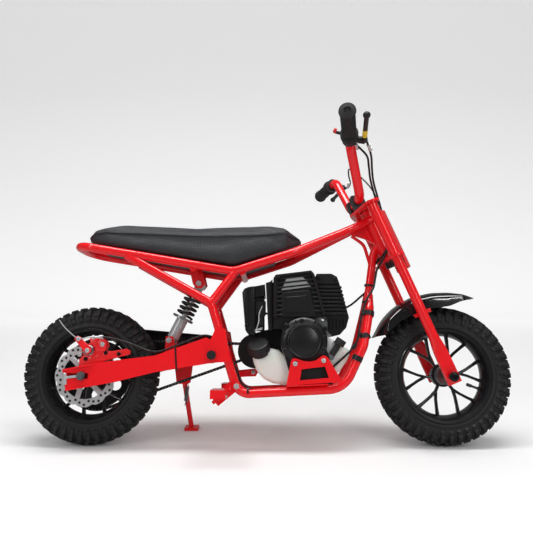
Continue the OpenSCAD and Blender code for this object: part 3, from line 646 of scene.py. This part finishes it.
rear, front = np.array([-axle_x, axle_z], float), np.array([-50.0, 215.0])
rear_r, front_r = 84.0, 17.0
apart = front - rear
tilt = math.atan2(apart[1], apart[0])
lap = math.acos((rear_r - front_r) / np.linalg.norm(apart))
straight = math.sqrt(np.dot(apart, apart) - (rear_r - front_r) ** 2)
lengths = np.array([straight, 2 * lap * front_r, straight, (2 * math.pi - 2 * lap) * rear_r])
marks = np.concatenate([[0], np.cumsum(lengths)])
links = 2 * round(marks[-1] / 16)


def chain_place(s):
    """Point and heading at the distance s along the chain: tangents joined by arcs on both sprockets."""
    s = np.mod(s, marks[-1])
    upper = np.array([math.cos(tilt + lap), math.sin(tilt + lap)])
    lower = np.array([math.cos(tilt - lap), math.sin(tilt - lap)])
    parts = np.searchsorted(marks, s, side="right") - 1
    spin_front = tilt + lap - (s - marks[1]) / front_r
    spin_rear = tilt - lap - (s - marks[3]) / rear_r
    along_up = np.array([upper[1], -upper[0]])
    along_low = np.array([lower[1], -lower[0]])
    rows = [
        rear + rear_r * upper + s[:, None] * along_up,
        front + front_r * np.stack([np.cos(spin_front), np.sin(spin_front)], -1),
        front + front_r * lower + (s - marks[2])[:, None] * along_low,
        rear + rear_r * np.stack([np.cos(spin_rear), np.sin(spin_rear)], -1)]
    heads = [np.full_like(s, tilt + lap - math.pi / 2), spin_front - math.pi / 2,
             np.full_like(s, tilt - lap - math.pi / 2), spin_rear - math.pi / 2]
    place = np.choose(parts[:, None], rows)
    return place, np.choose(parts, heads)


pin_at, _ = chain_place(np.arange(links) * marks[-1] / links)
middle = (pin_at + np.roll(pin_at, -1, 0)) / 2
head = unit(np.roll(pin_at, -1, 0) - pin_at)
t = np.concatenate([np.linspace(-90, 90, 6), np.linspace(90, 270, 6)]) * math.pi / 180
outline = np.stack([np.cos(t) * 3.4 + np.repeat([4.0, -4.0], 6), np.sin(t) * 3.4], -1)
plates = []
for side in (-1, 1):
    for shift in (0.0, 1.3):
        off = np.where(np.arange(links) % 2 == 0, 4.3, 3.0) * side + (shift - 0.65)
        flat = (middle[:, None] + outline[None, :, :1] * head[:, None]
                + outline[None, :, 1:] * np.stack([-head[:, 1], head[:, 0]], -1)[:, None])
        plates.append(np.stack([flat[..., 0], np.broadcast_to(43 + off[:, None], flat.shape[:2]),
                                flat[..., 1]], -1))
plate_rings = np.stack(plates, 1).reshape(links * 2, 2, 12, 3)[:, ::-1]
links_piece = solid("chain_links", bike(plate_rings), dark_steel)
solid("chain_pins", turned(
    [[1.6, -5.4], [1.6, -2.9], [2.6, -2.9], [2.6, 2.9], [1.6, 2.9], [1.6, 5.4]],
    np.stack([pin_at[:, 0], np.full(links, 43.0), pin_at[:, 1]], -1),
    np.broadcast_to([0.0, 1.0, 0.0], (links, 3)), 8), steel)
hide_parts("chain")

# Wheels and tyres.
# Knobbly rubber with three staggered rows of blocks and a row on each shoulder.
# The cast wheels have six forked spokes; their hubs are bare.

rubber = grained("knobbly_rubber", "tyre_rubber", (0.013, 0.013, 0.014), 0.6, grain=1200, depth=0.3)
turns, section = 616, 74
theta = np.arange(turns) * 2 * math.pi / turns


def block(value, low, high, soft):
    """1 between low and high, 0 outside, with straight flanks of width soft."""
    return np.clip((value - low) / soft + 1, 0, 1) * np.clip((high - value) / soft + 1, 0, 1)


def tyre_rings():
    """Crown arc of radius 26.6 + 6.4 h about r = 126, then a side wall down to the bead.

    h is a product of boxes: one along the tread's turn, one across it, for each row of blocks."""
    phi = np.radians(np.linspace(-104, 104, section - 10))
    turn = np.mod(theta[:, None] * 44 / (2 * math.pi), 1.0)
    half = np.mod(turn + 0.36, 1.0)
    a = np.degrees(np.abs(phi))[None, :]
    lug = (block(turn, 0.14, 0.62, 0.07) * block(a, -1, 10, 3)
           + block(half, 0.14, 0.62, 0.07) * block(a, 17, 32, 3)
           + block(turn, 0.12, 0.60, 0.07) * block(a, 39, 70, 4)
           + 0.6 * block(turn, 0.16, 0.56, 0.07) * block(a, 75, 92, 5))
    r = 26.6 + 6.4 * np.clip(lug, 0, 1)
    crown = np.stack([126 + r * np.cos(phi), r * np.sin(phi)], -1)
    wall = np.array([[113, 28.3], [109.5, 27.4], [108.2, 25.6], [106.6, 25.2], [102, 24.6]])
    end = np.broadcast_to(wall[None], (turns, 5, 2))
    ring = np.concatenate([end[:, ::-1] * [1, -1], crown, end], axis=1)
    return np.stack([ring[..., 0] * np.cos(theta)[:, None], ring[..., 1],
                     ring[..., 0] * np.sin(theta)[:, None]], -1)


rings = tyre_rings()
for label, x, body, cad in (("front_tyre_tread", axle_x, "front_wheel", "front_tyre"),
                            ("rear_tyre_tread", -axle_x, "rear_wheel", "rear_tyre")):
    tyre = solid(label, bike(rings + [x, 0, axle_z])[None], rubber, body, closed=True, sharp=24)
    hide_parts(cad)

rim_paint = grained("rim_black", "black_cast_wheel", (0.008, 0.008, 0.009), 0.25, grain=300, depth=0.04,
                    Coat_Weight=0.4)
rim_profile = [
    [91, -8], [94.5, -17], [98.8, -25], [100.5, -27.4], [106, -28.2], [107, -27.6], [106.4, -25.6],
    [101.6, -24.8], [100.8, -12], [100.8, 12], [101.6, 24.8], [106.4, 25.6], [107, 27.6],
    [106, 28.2], [100.5, 27.4], [98.8, 25], [94.5, 17], [91, 8], [90.6, 0]]


def spokes(x):
    """Stems and arms: routes from the hub to a fork at r = 43, then to the rim 15 degrees each side."""
    made = []
    for i in range(6):
        middle = math.radians(60 * i + 6)
        made.append([(20, middle), (30, middle), (44, middle), (46, middle)])
        for side in (-1, 1):
            made.append([(42, middle + side * 0.02), (58, middle + side * 0.12),
                         (76, middle + side * 0.205), (94, middle + side * 0.262)])
    r, a = np.array(made).transpose(2, 0, 1)
    return np.stack([x + r * np.cos(a), 0 * r, axle_z + r * np.sin(a)], -1)


for label, x, body, cad in (("front_wheel_casting", axle_x, "front_wheel", "front_rim"),
                            ("rear_wheel_casting", -axle_x, "rear_wheel", "rear_rim")):
    hoop = solid(label, turned(rim_profile, [[x, 0, axle_z]], [[0, 1.0, 0]], 128), rim_paint, body,
                 closed=True)
    bars = []
    for line in spokes(x):
        flat = np.cross(unit(np.gradient(line, axis=0)), [0, 1.0, 0])
        half_thick = 3.5 * np.array([1.0, 0.9, 0.95, 1.25])[:, None]
        bars.append(line[:, None] + circle(half_thick * flat, np.array([[0, 8.0, 0]]), 12))
    solid(label + "_spokes", bike(np.array(bars)), rim_paint, body, sharp=50)
    solid(label + "_boss", turned(
        [[21.9, -8.6], [25.5, -8.6], [26.5, -7.6], [26.5, 7.6], [25.5, 8.6], [21.9, 8.6]],
        [[x, 0, axle_z]], [[0, 1.0, 0]], 48), rim_paint, body, closed=True)
    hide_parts(cad)

for label, x, turn, body in (("front_valve", axle_x, -20, "front_wheel"),
                             ("rear_valve", -axle_x, 200, "rear_wheel")):
    way = -np.array([math.cos(math.radians(turn)), 0, math.sin(math.radians(turn))])
    solid(label, turned(
        [[4.2, -3], [4.2, 3], [3.0, 5], [2.8, 18], [3.8, 19], [3.8, 29], [3.2, 30.5]],
        [np.array([x, 0, axle_z]) - way * 91], [way], 14), rim_paint, body)

# Fork.
# Each leg is a round tube, hammered flat and cut square at the axle.
# Small welded tabs under the mudguard carry it.


def fork_point(n, y, s):
    """Bike millimetres of a point n ahead of the steering line and s up along it from the axle."""
    rake = math.radians(22.5)
    n, y, s = np.broadcast_arrays(n, y, s)
    return np.stack([axle_x + n * math.cos(rake) - s * math.sin(rake), y,
                     axle_z + n * math.sin(rake) + s * math.cos(rake)], -1)


# columns: distance up the leg, half width, half thickness, squareness
leg_rows = np.array([
    [-16, 15, 5.6, 8], [-15.4, 15.4, 6, 8], [30, 15.4, 6, 8], [58, 15.2, 6, 7], [74, 13.6, 8, 4],
    [88, 11.8, 10.6, 2.4], [98, 11.1, 11.1, 2], [180, 11.1, 11.1, 2], [290, 11.1, 11.1, 2],
    [292, 11.1, 11.1, 2]], float)
t = (np.arange(40) + 0.5) * 2 * math.pi / 40
cos_t, sin_t = np.cos(t)[None], np.sin(t)[None]
power = 2 / leg_rows[:, 3:4]
n_off = leg_rows[:, 1:2] * np.sign(cos_t) * np.abs(cos_t) ** power
y_off = leg_rows[:, 2:3] * np.sign(sin_t) * np.abs(sin_t) ** power
legs = np.stack([fork_point(n_off, y_off + side * 70, leg_rows[:, :1]) for side in (-1, 1)])
upper_rows = np.array([298.0, 298.6, 429.4, 430.0])[:, None]
upper = np.stack([fork_point(np.array([[12.2], [12.7], [12.7], [12.2]]) * cos_t,
                             12.7 * sin_t + side * 70, upper_rows) for side in (-1, 1)])
leg_piece = solid("fork_leg_tubes", bike(legs), enamel, "fork_body", sharp=40)
solid("fork_upper_tubes", bike(upper), enamel, "fork_body")
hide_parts("fork_legs")


def prisms(name, items, material, body="frame_body", bevel=1.0, steps=1):
    """Plates cut to outlines in x and z, each between two distances y, with edges rounded by bevel mm.

    Ring i lies bevel (1 - sin a) in from the outline and bevel (1 - cos a) in from the face."""
    points, faces, base = [], [], 0
    for outline, y0, y1 in items:
        p = np.asarray(outline, float)
        if np.sum(p[:, 0] * np.roll(p[:, 1], -1) - np.roll(p[:, 0], -1) * p[:, 1]) < 0:
            p = p[::-1]
        step = unit(np.roll(p, -1, 0) - p)
        left = np.stack([-step[:, 1], step[:, 0]], -1)
        inward = left + np.roll(left, 1, 0)
        inward /= np.maximum(np.sum(inward * left, axis=1, keepdims=True), 0.35)
        a = np.linspace(0, math.pi / 2, steps + 1)
        inset = bevel * (1 - np.sin(a))
        depth = bevel * (1 - np.cos(a))
        inset, depth = np.append(inset, inset[::-1]), np.append(y0 + depth, y1 - depth[::-1])
        flat = p[None] + inward[None] * inset[:, None, None]
        ring = np.stack([flat[..., 0], np.broadcast_to(depth[:, None], flat.shape[:2]),
                         flat[..., 1]], -1)
        k, s = ring.shape[:2]
        index = base + np.arange(k * s).reshape(k, s)
        low, high = index[:-1], index[1:]
        faces += np.stack([low, np.roll(low, -1, 1), np.roll(high, -1, 1), high],
                          -1).reshape(-1, 4).tolist()
        faces += [index[0, ::-1].tolist(), index[-1].tolist()]
        points.append(ring.reshape(-1, 3))
        base += k * s
    return make(name, bike(np.vstack(points)), faces, material, body)


def disc_outline(x, z, r, sides=28):
    """Points of a circle."""
    a = np.arange(sides) * 2 * math.pi / sides
    return np.stack([x + r * np.cos(a), z + r * np.sin(a)], -1)


def both(items):
    """The same plates on both sides of the bike."""
    return items + [(outline, -y1, -y0) for outline, y0, y1 in items]


tabs = prisms("fender_tabs", both([
    ([[338, 296], [343, 290], [364, 298], [360, 307]], -49, -46),
    ([[366, 300], [380, 304], [378, 313], [364, 309]], -49, -46)]), enamel, "fork_body")
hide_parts("fender_stays")

# Rear brake.
# A scalloped and drilled steel disc turns with the wheel; its holes are painted shade, short black plugs
# set through the disc.
# The red caliper over its top edge is pulled by a cable through a pressed arm.

a = np.arange(360) * 2 * math.pi / 360
lobe = 70 - 3.6 * np.abs(np.sin(6 * a)) ** 6
ring_r = np.stack([lobe, lobe, np.full(360, 52.5), np.full(360, 52.5)])
ring_y = np.array([-46.5, -43.5, -43.5, -46.5])[:, None]
rotor_rings = np.stack([-axle_x + ring_r * np.cos(a), np.broadcast_to(ring_y, ring_r.shape),
                        axle_z + ring_r * np.sin(a)], -1)[None]
rotor = solid("disc_rotor", bike(rotor_rings), bright_steel, "rear_wheel", closed=True)
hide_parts("brake_disc")
arms = []
for i in range(6):
    turn = math.radians(60 * i)
    arm = np.array([[14, -9], [30, -1], [54, 5], [54, 17], [28, 10], [14, 7]])
    spun = np.stack([arm[:, 0] * math.cos(turn) - arm[:, 1] * math.sin(turn),
                     arm[:, 0] * math.sin(turn) + arm[:, 1] * math.cos(turn)], -1)
    arms.append((spun + [-axle_x, axle_z], -46.4, -43.6))
prisms("disc_arms", arms, bright_steel, "rear_wheel", bevel=0.4)
solid("disc_carrier", turned(
    [[7.1, 27], [22, 27], [23, 28], [23, 47], [22, 48], [7.1, 48]],
    [[-axle_x, 0, axle_z]], [[0, -1.0, 0]], 40), steel, "rear_wheel", closed=True)
# painted shade: each drilled hole is a short black plug through the disc, standing for the dark seen
# through the hole
hole_a = np.arange(36) * math.pi / 18
hole_r = np.tile([65.0, 57.5, 61.0], 12)
hole_shade_plugs = solid("disc_hole_shade", turned(
    [[3.0, -1.56], [3.0, 1.56]],
    np.stack([-axle_x + hole_r * np.cos(hole_a), np.full(36, -45.0),
              axle_z + hole_r * np.sin(hole_a)], -1),
    np.broadcast_to([0, 1.0, 0], (36, 3)), 12), sheath, "rear_wheel")
caliper_red = grained("caliper_red", "red_paint", (0.80, 0.007, 0.012), 0.3, grain=500, depth=0.08,
                      Coat_Weight=0.4)
caliper = prisms("caliper_casting", [
    ([[-424, 150], [-425, 195], [-416, 204], [-398, 214], [-366, 214], [-350, 214],
      [-318, 219], [-309, 214], [-310, 206], [-350, 196], [-378, 188], [-397, 172],
      [-398, 150]], -55.8, -50),
    ([[-396, 216], [-386, 212], [-366, 213], [-362, 226], [-366, 236], [-378, 244],
      [-396, 247], [-403, 240]], -60, -37),
    (disc_outline(-402, 215, 15.5), -60, -49),
    (disc_outline(-373, 229, 10.5), -61, -49),
    (disc_outline(-381, 209, 7.5), -58, -49)], caliper_red, bevel=1.2, steps=2)
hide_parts("brake_caliper")
prisms("caliper_arm", [
    ([[-410, 212], [-402, 206], [-394, 212], [-396, 222], [-422, 246], [-430, 247],
      [-434, 241], [-430, 236]], -69.5, -66.5)], caliper_red, bevel=0.6)
solid("caliper_cap", turned([[12, 0], [12, 5], [10.5, 6.5], [6, 7], [4, 6.5], [0.5, 6.5]],
                            [[-402, -60, 215]], [[0, -1.0, 0]], 32), steel)

# Engine covers.
# Moulded black covers round a small engine: a slatted shroud over the cylinder, a louvred
# guard round the silencer, the starter's bowl and the air filter's box.

shroud_paint = grained("cover_black", "black_plastic", (0.01, 0.01, 0.011), 0.3, grain=700, depth=0.12)
slats = [
    ([[16, 264], [16, 380], [21, 388], [103, 398], [110, 390], [134, 297], [133, 290],
      [64, 290], [50, 272], [34, 264]], -58, 44),
    ([[16, 290], [16, 380], [21, 388], [25, 385], [24, 290]], -66, -57),
    ([[20, 382], [21, 388], [103, 398], [104, 392]], -66, -57),
    ([[103, 398], [110, 390], [134, 297], [128, 294], [104, 390]], -66, -57),
    ([[33, 291], [33, 343], [38, 347], [96, 352], [101, 348], [113, 291]], -64.5, -57),
    ([[44, 300], [44, 336], [90, 340], [99, 300]], -65.6, -64)]
for k in range(9):
    z = 376 - 10.4 * k
    if k < 3:
        slats.append(([[22, z], [22, z + 3.6], [105 + 2.4 * k, z + 13.4],
                       [105 + 2.4 * k, z + 9.8]], -65.2, -57))
    else:
        slats.append(([[22, z], [22, z + 3.6], [36, z + 5.0], [36, z + 1.4]], -65.2, -57))
        slats.append(([[98 + 1.4 * k, z + 9.6], [98 + 1.4 * k, z + 13.2],
                       [108 + 2.5 * k, z + 14.4], [108 + 2.5 * k, z + 10.8]], -65.2, -57))
shroud = prisms("cylinder_cover", slats, shroud_paint, bevel=0.8)
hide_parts("cylinder_shroud")
hood = prisms(
    "cylinder_heat_shield", [([[46, 380], [84, 384], [102, 361], [34, 352]], -60.5, -57.5)],
    silver, bevel=0.8)
louvres = [
    ([[114, 292], [114, 386], [118, 394], [152, 394], [165, 387], [173, 366], [189, 303],
      [192, 292], [185, 268], [170, 252], [152, 248], [140.5, 262], [140.5, 292]], -35, 40),
    ([[116, 370], [118, 394], [152, 394], [165, 387], [171, 370]], -42, -34)]
for k in range(8):
    z = 360 - 8.9 * k
    louvres.append(([[121 + 1.9 * k, z], [121 + 1.9 * k, z + 4.6], [175 + 1.9 * k, z + 4.6],
                     [176 + 1.9 * k, z]], -42, 42))
for k in range(5):
    louvres.append(([[146 + 8.2 * k, 266 + 1.5 * k], [146 + 8.2 * k, 288],
                     [150 + 8.2 * k, 288], [150 + 8.2 * k, 266 + 1.5 * k]], -39, -34))
guard = prisms("silencer_guard", louvres, shroud_paint, bevel=0.7)
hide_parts("muffler_cover")
bowl = solid("starter_bowl", turned(
    [[54, 0.1], [54, 15], [53, 19], [49, 22], [46, 23.5], [43, 24.5], [40.5, 26],
     [39, 29.5], [37.5, 32], [35.5, 33], [34, 32.4], [33.4, 31], [0.5, 31]],
    [[85, -46, 236]], [[0, -1.0, 0]], 72), shroud_paint)
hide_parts("recoil_cover")
solid("starter_plate", turned(
    [[32.5, 0], [32.5, 0.5], [32, 0.8], [0.5, 0.8]],
    [[85, -77.1, 236]], [[0, -1.0, 0]], 64), shroud_paint)
fins = [([[51, 166], [42, 200], [38, 222], [60, 232], [110, 232], [134, 222], [140, 205],
          [144, 184]], -66, -46.1)]
mid = np.array([85, 236])
for turn in (14, 60, 112, 136, 158, 202, 246, 300, 340):
    u = np.array([math.cos(math.radians(turn)), math.sin(math.radians(turn))])
    v = np.array([-u[1], u[0]])
    fins.append((np.array([mid + 41 * u - 1.1 * v, mid + 52 * u - 1.4 * v,
                           mid + 52 * u + 1.4 * v, mid + 41 * u + 1.1 * v]), -70.5, -62))
for x, z in ((45, 270), (80, 281), (131, 264)):
    fins.append((disc_outline(x, z, 6.2), -70, -48))
prisms("starter_housing", fins, shroud_paint, bevel=0.8)
filter_box = prisms("air_filter_box", [
    ([[-57, 349], [-52, 358], [-43, 362], [-29, 364], [-27, 250], [-44, 254], [-49, 262]],
     -46, 34),
    ([[-30, 364], [-4, 369], [-2, 342], [-30, 338]], -40, 34),
    ([[-2, 371], [8, 374], [14, 380], [14, 262], [4, 259]], -50, 9.5),
    ([[-53, 340], [-50, 352], [-33, 356], [-32, 262], [-44, 264]], -48.5, -45)],
    shroud_paint, bevel=1.6, steps=2)
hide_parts("air_filter")
carb = prisms("carburettor_body", [
    ([[-27, 296], [-27, 330], [-2, 330], [-2, 300], [-7, 294], [-7, 268], [-22, 268],
      [-22, 296]], -34, 6),
    (disc_outline(-14, 280, 8), -40, -33)], black_plastic, bevel=1.2)
rods = solid("carburettor_rods", tube_rings(
    [[-24, -41, 262], [-18, -42, 282], [-17, -41, 300], [-10, -40, 318]], 1.2, 8), silver)
choke = prisms("choke_lever", [([[-34, 257], [-34, 261], [-10, 268], [-9, 263]], -44, -42)],
               silver, bevel=0.4)

# Fuel tank.
# Blow-moulded white plastic, a little see-through, with one soft curve round every edge.
# Its black screw cap has a knurled skirt. The crankcase's cast foot shows beside it.

tank = prisms("tank_shell", [
    ([[-32, 200], [-30, 188], [-21, 168], [-7, 152], [14, 142], [40, 138], [120, 140],
      [150, 152], [168, 170], [184, 192], [191, 207], [188, 219], [176, 226], [152, 220],
      [128, 190], [60, 182], [46, 200], [28, 217], [4, 222], [-20, 214]], -45, 9)],
    tank_white, bevel=9.0, steps=6)
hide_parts("fuel_tank")
crank = prisms("crankcase_foot", [
    ([[116, 226], [134, 250], [162, 234], [152, 206], [130, 194]], -50, -10)],
    silver, bevel=1.5, steps=2)
cap_way = unit(np.array([-0.22, -0.56, 0.80]))
cap_profile = np.array([[20, -6], [20, 1], [24.4, 2], [24.8, 4], [24.8, 19], [23.6, 22],
                        [21, 23.2], [20, 22.4], [0.5, 22.2]])
cap_seat = np.array([-15.0, -38.0, 213.0])
cap_rings = turned(cap_profile, [cap_seat], [cap_way], 144)
cap_mid = bike(cap_seat + cap_profile[:, 1:] * cap_way)
wave = 1 + 0.022 * np.cos(np.arange(144) * 2 * math.pi / 4.0)
wave = np.where((cap_profile[:, 0] > 24)[:, None], wave[None], 1.0)
cap_rings[0] = cap_mid[:, None] + (cap_rings[0] - cap_mid[:, None]) * wave[..., None]
fuel_cap = solid("fuel_cap_knurled", cap_rings, black_plastic)
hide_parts("fuel_cap")

# Small plates.
# Pressed adjusters at the rear axle, the swingarm's rolled lips and a rubber strap on it, the
# starter's foot, the blocks beside the intake, and a welded tab for the gearbox.

prisms("axle_adjusters", both([
    ([[-450, 139], [-452, 166], [-445, 165], [-443, 140]], -75, -55),
    ([[-447, 152.5], [-447, 158], [-418, 161], [-418, 155.5]], -74.4, -68)]), silver, bevel=0.5)
prisms("swingarm_lips", both([
    ([[-454.6, 173.2], [-385, 186.2], [-385, 182.6], [-454.2, 169.6]], -75.4, -71),
    ([[-445, 126.2], [-385, 137], [-385, 140.6], [-445.8, 129.8]], -75.4, -71)]),
    enamel, bevel=0.8)
prisms("swingarm_strap", [
    ([[-202, 171], [-206, 224], [-202.4, 224], [-198.4, 171]], -73.2, -71.8)], sheath, bevel=0.3)
prisms(
    "starter_foot", [([[70, 141], [64, 192], [138, 192], [148, 141]], -60, -46.2)], black_plastic)
prisms("intake_block", [
    ([[-30, 262], [-30, 338], [-5, 340], [-5, 262]], -28, 24),
    ([[7, 262], [7, 368], [17, 374], [17, 262]], -46, 24)], black_plastic)
prisms("gearbox_tab", [([[-76, 168], [-28, 173], [-21, 164], [-27, 154], [-70, 152]],
                        46.5, 50)], enamel)

# Screws and nuts.
# Button screws with a sunk socket and hexagon nuts, in bright or black zinc. They hold the
# engine's covers and brackets, the brake, the mudguard, the clamps and the axles.

black_zinc = grained("black_zinc", "black_plastic", (0.03, 0.03, 0.032), 0.3, metallic=0.8,
                     grain=700, depth=0.1)
button_head = np.array([[1.0, 0], [1.0, 0.18], [0.93, 0.34], [0.75, 0.46], [0.5, 0.5],
                        [0.46, 0.5], [0.46, 0.2], [0.02, 0.2]])
hex_nut = np.array([[0.98, 0], [1.08, 0.05], [1.08, 0.7], [0.98, 0.8], [0.55, 0.8],
                    [0.5, 1.15], [0.42, 1.25], [0.02, 1.25]])
right, left_way = [0, -1.0, 0], [0, 1.0, 0]
steer_up = fork_point(0, 0, 1.0) - fork_point(0, 0, 0.0)
for label, profile, size, sides, material, body, rows in (
        ("screws_bright", button_head, 5.2, 24, silver, "frame_body",
         [([64, -76, 186], right), ([127, -76, 193], right), ([-33, 46.5, 164], right),
          ([-424, -69.5, 240.6], right), ([-403, -69.5, 215], right),
          ([-372, -61, 229], right), ([-374, -61, 245], right), ([-424, -56, 206], right)]),
        ("screws_black", button_head, 4.6, 24, black_zinc, "frame_body",
         [([80, -70, 281], right), ([26, -66, 381], right), ([100, -66, 392], right),
          ([-365, -56, 210], right), ([-335, -56, 207], right), ([-410, -56, 196], right),
          ([45, -70, 270], right), ([131, -70, 264], right), ([-46, -48.5, 272], right),
          ([124, -42, 384], right), ([160, -42, 380], right)]),
        ("axle_screws_front", button_head, 10.5, 36, black_zinc, "fork_body",
         [([axle_x, -86, axle_z], right), ([axle_x, 86, axle_z], left_way)]),
        ("fender_screws", button_head, 5.5, 24, black_zinc, "fork_body",
         [([322, -46, 305], right), ([371, -46, 329], right), ([322, 46, 305], left_way),
          ([371, 46, 329], left_way)]),
        ("clamp_screws", button_head, 5.0, 24, black_zinc, "fork_body",
         [(fork_point(-4, y, 437.5), steer_up) for y in (-70, 70)]),
        ("riser_screws", button_head, 4.6, 24, black_zinc, "fork_body",
         [(fork_point(-17 + n, y, 470.2), steer_up) for y in (-35, -21, 21, 35)
          for n in (-9.5, 9.5)]),
        ("nuts_rear", hex_nut, 9.6, 6, black_zinc, "frame_body",
         [([-axle_x, -72.2, axle_z], right), ([-axle_x, 72.2, axle_z], left_way)]),
        ("nuts_small", hex_nut, 6.5, 6, silver, "frame_body",
         [([-161, -30, 372], right), ([-161, 30, 372], left_way), ([-227, -30, 238.7], right),
          ([-227, 30, 238.7], left_way), ([-66, -75, 137], right)])):
    solid(label, turned(profile * size, *zip(*rows), sides), material, body)
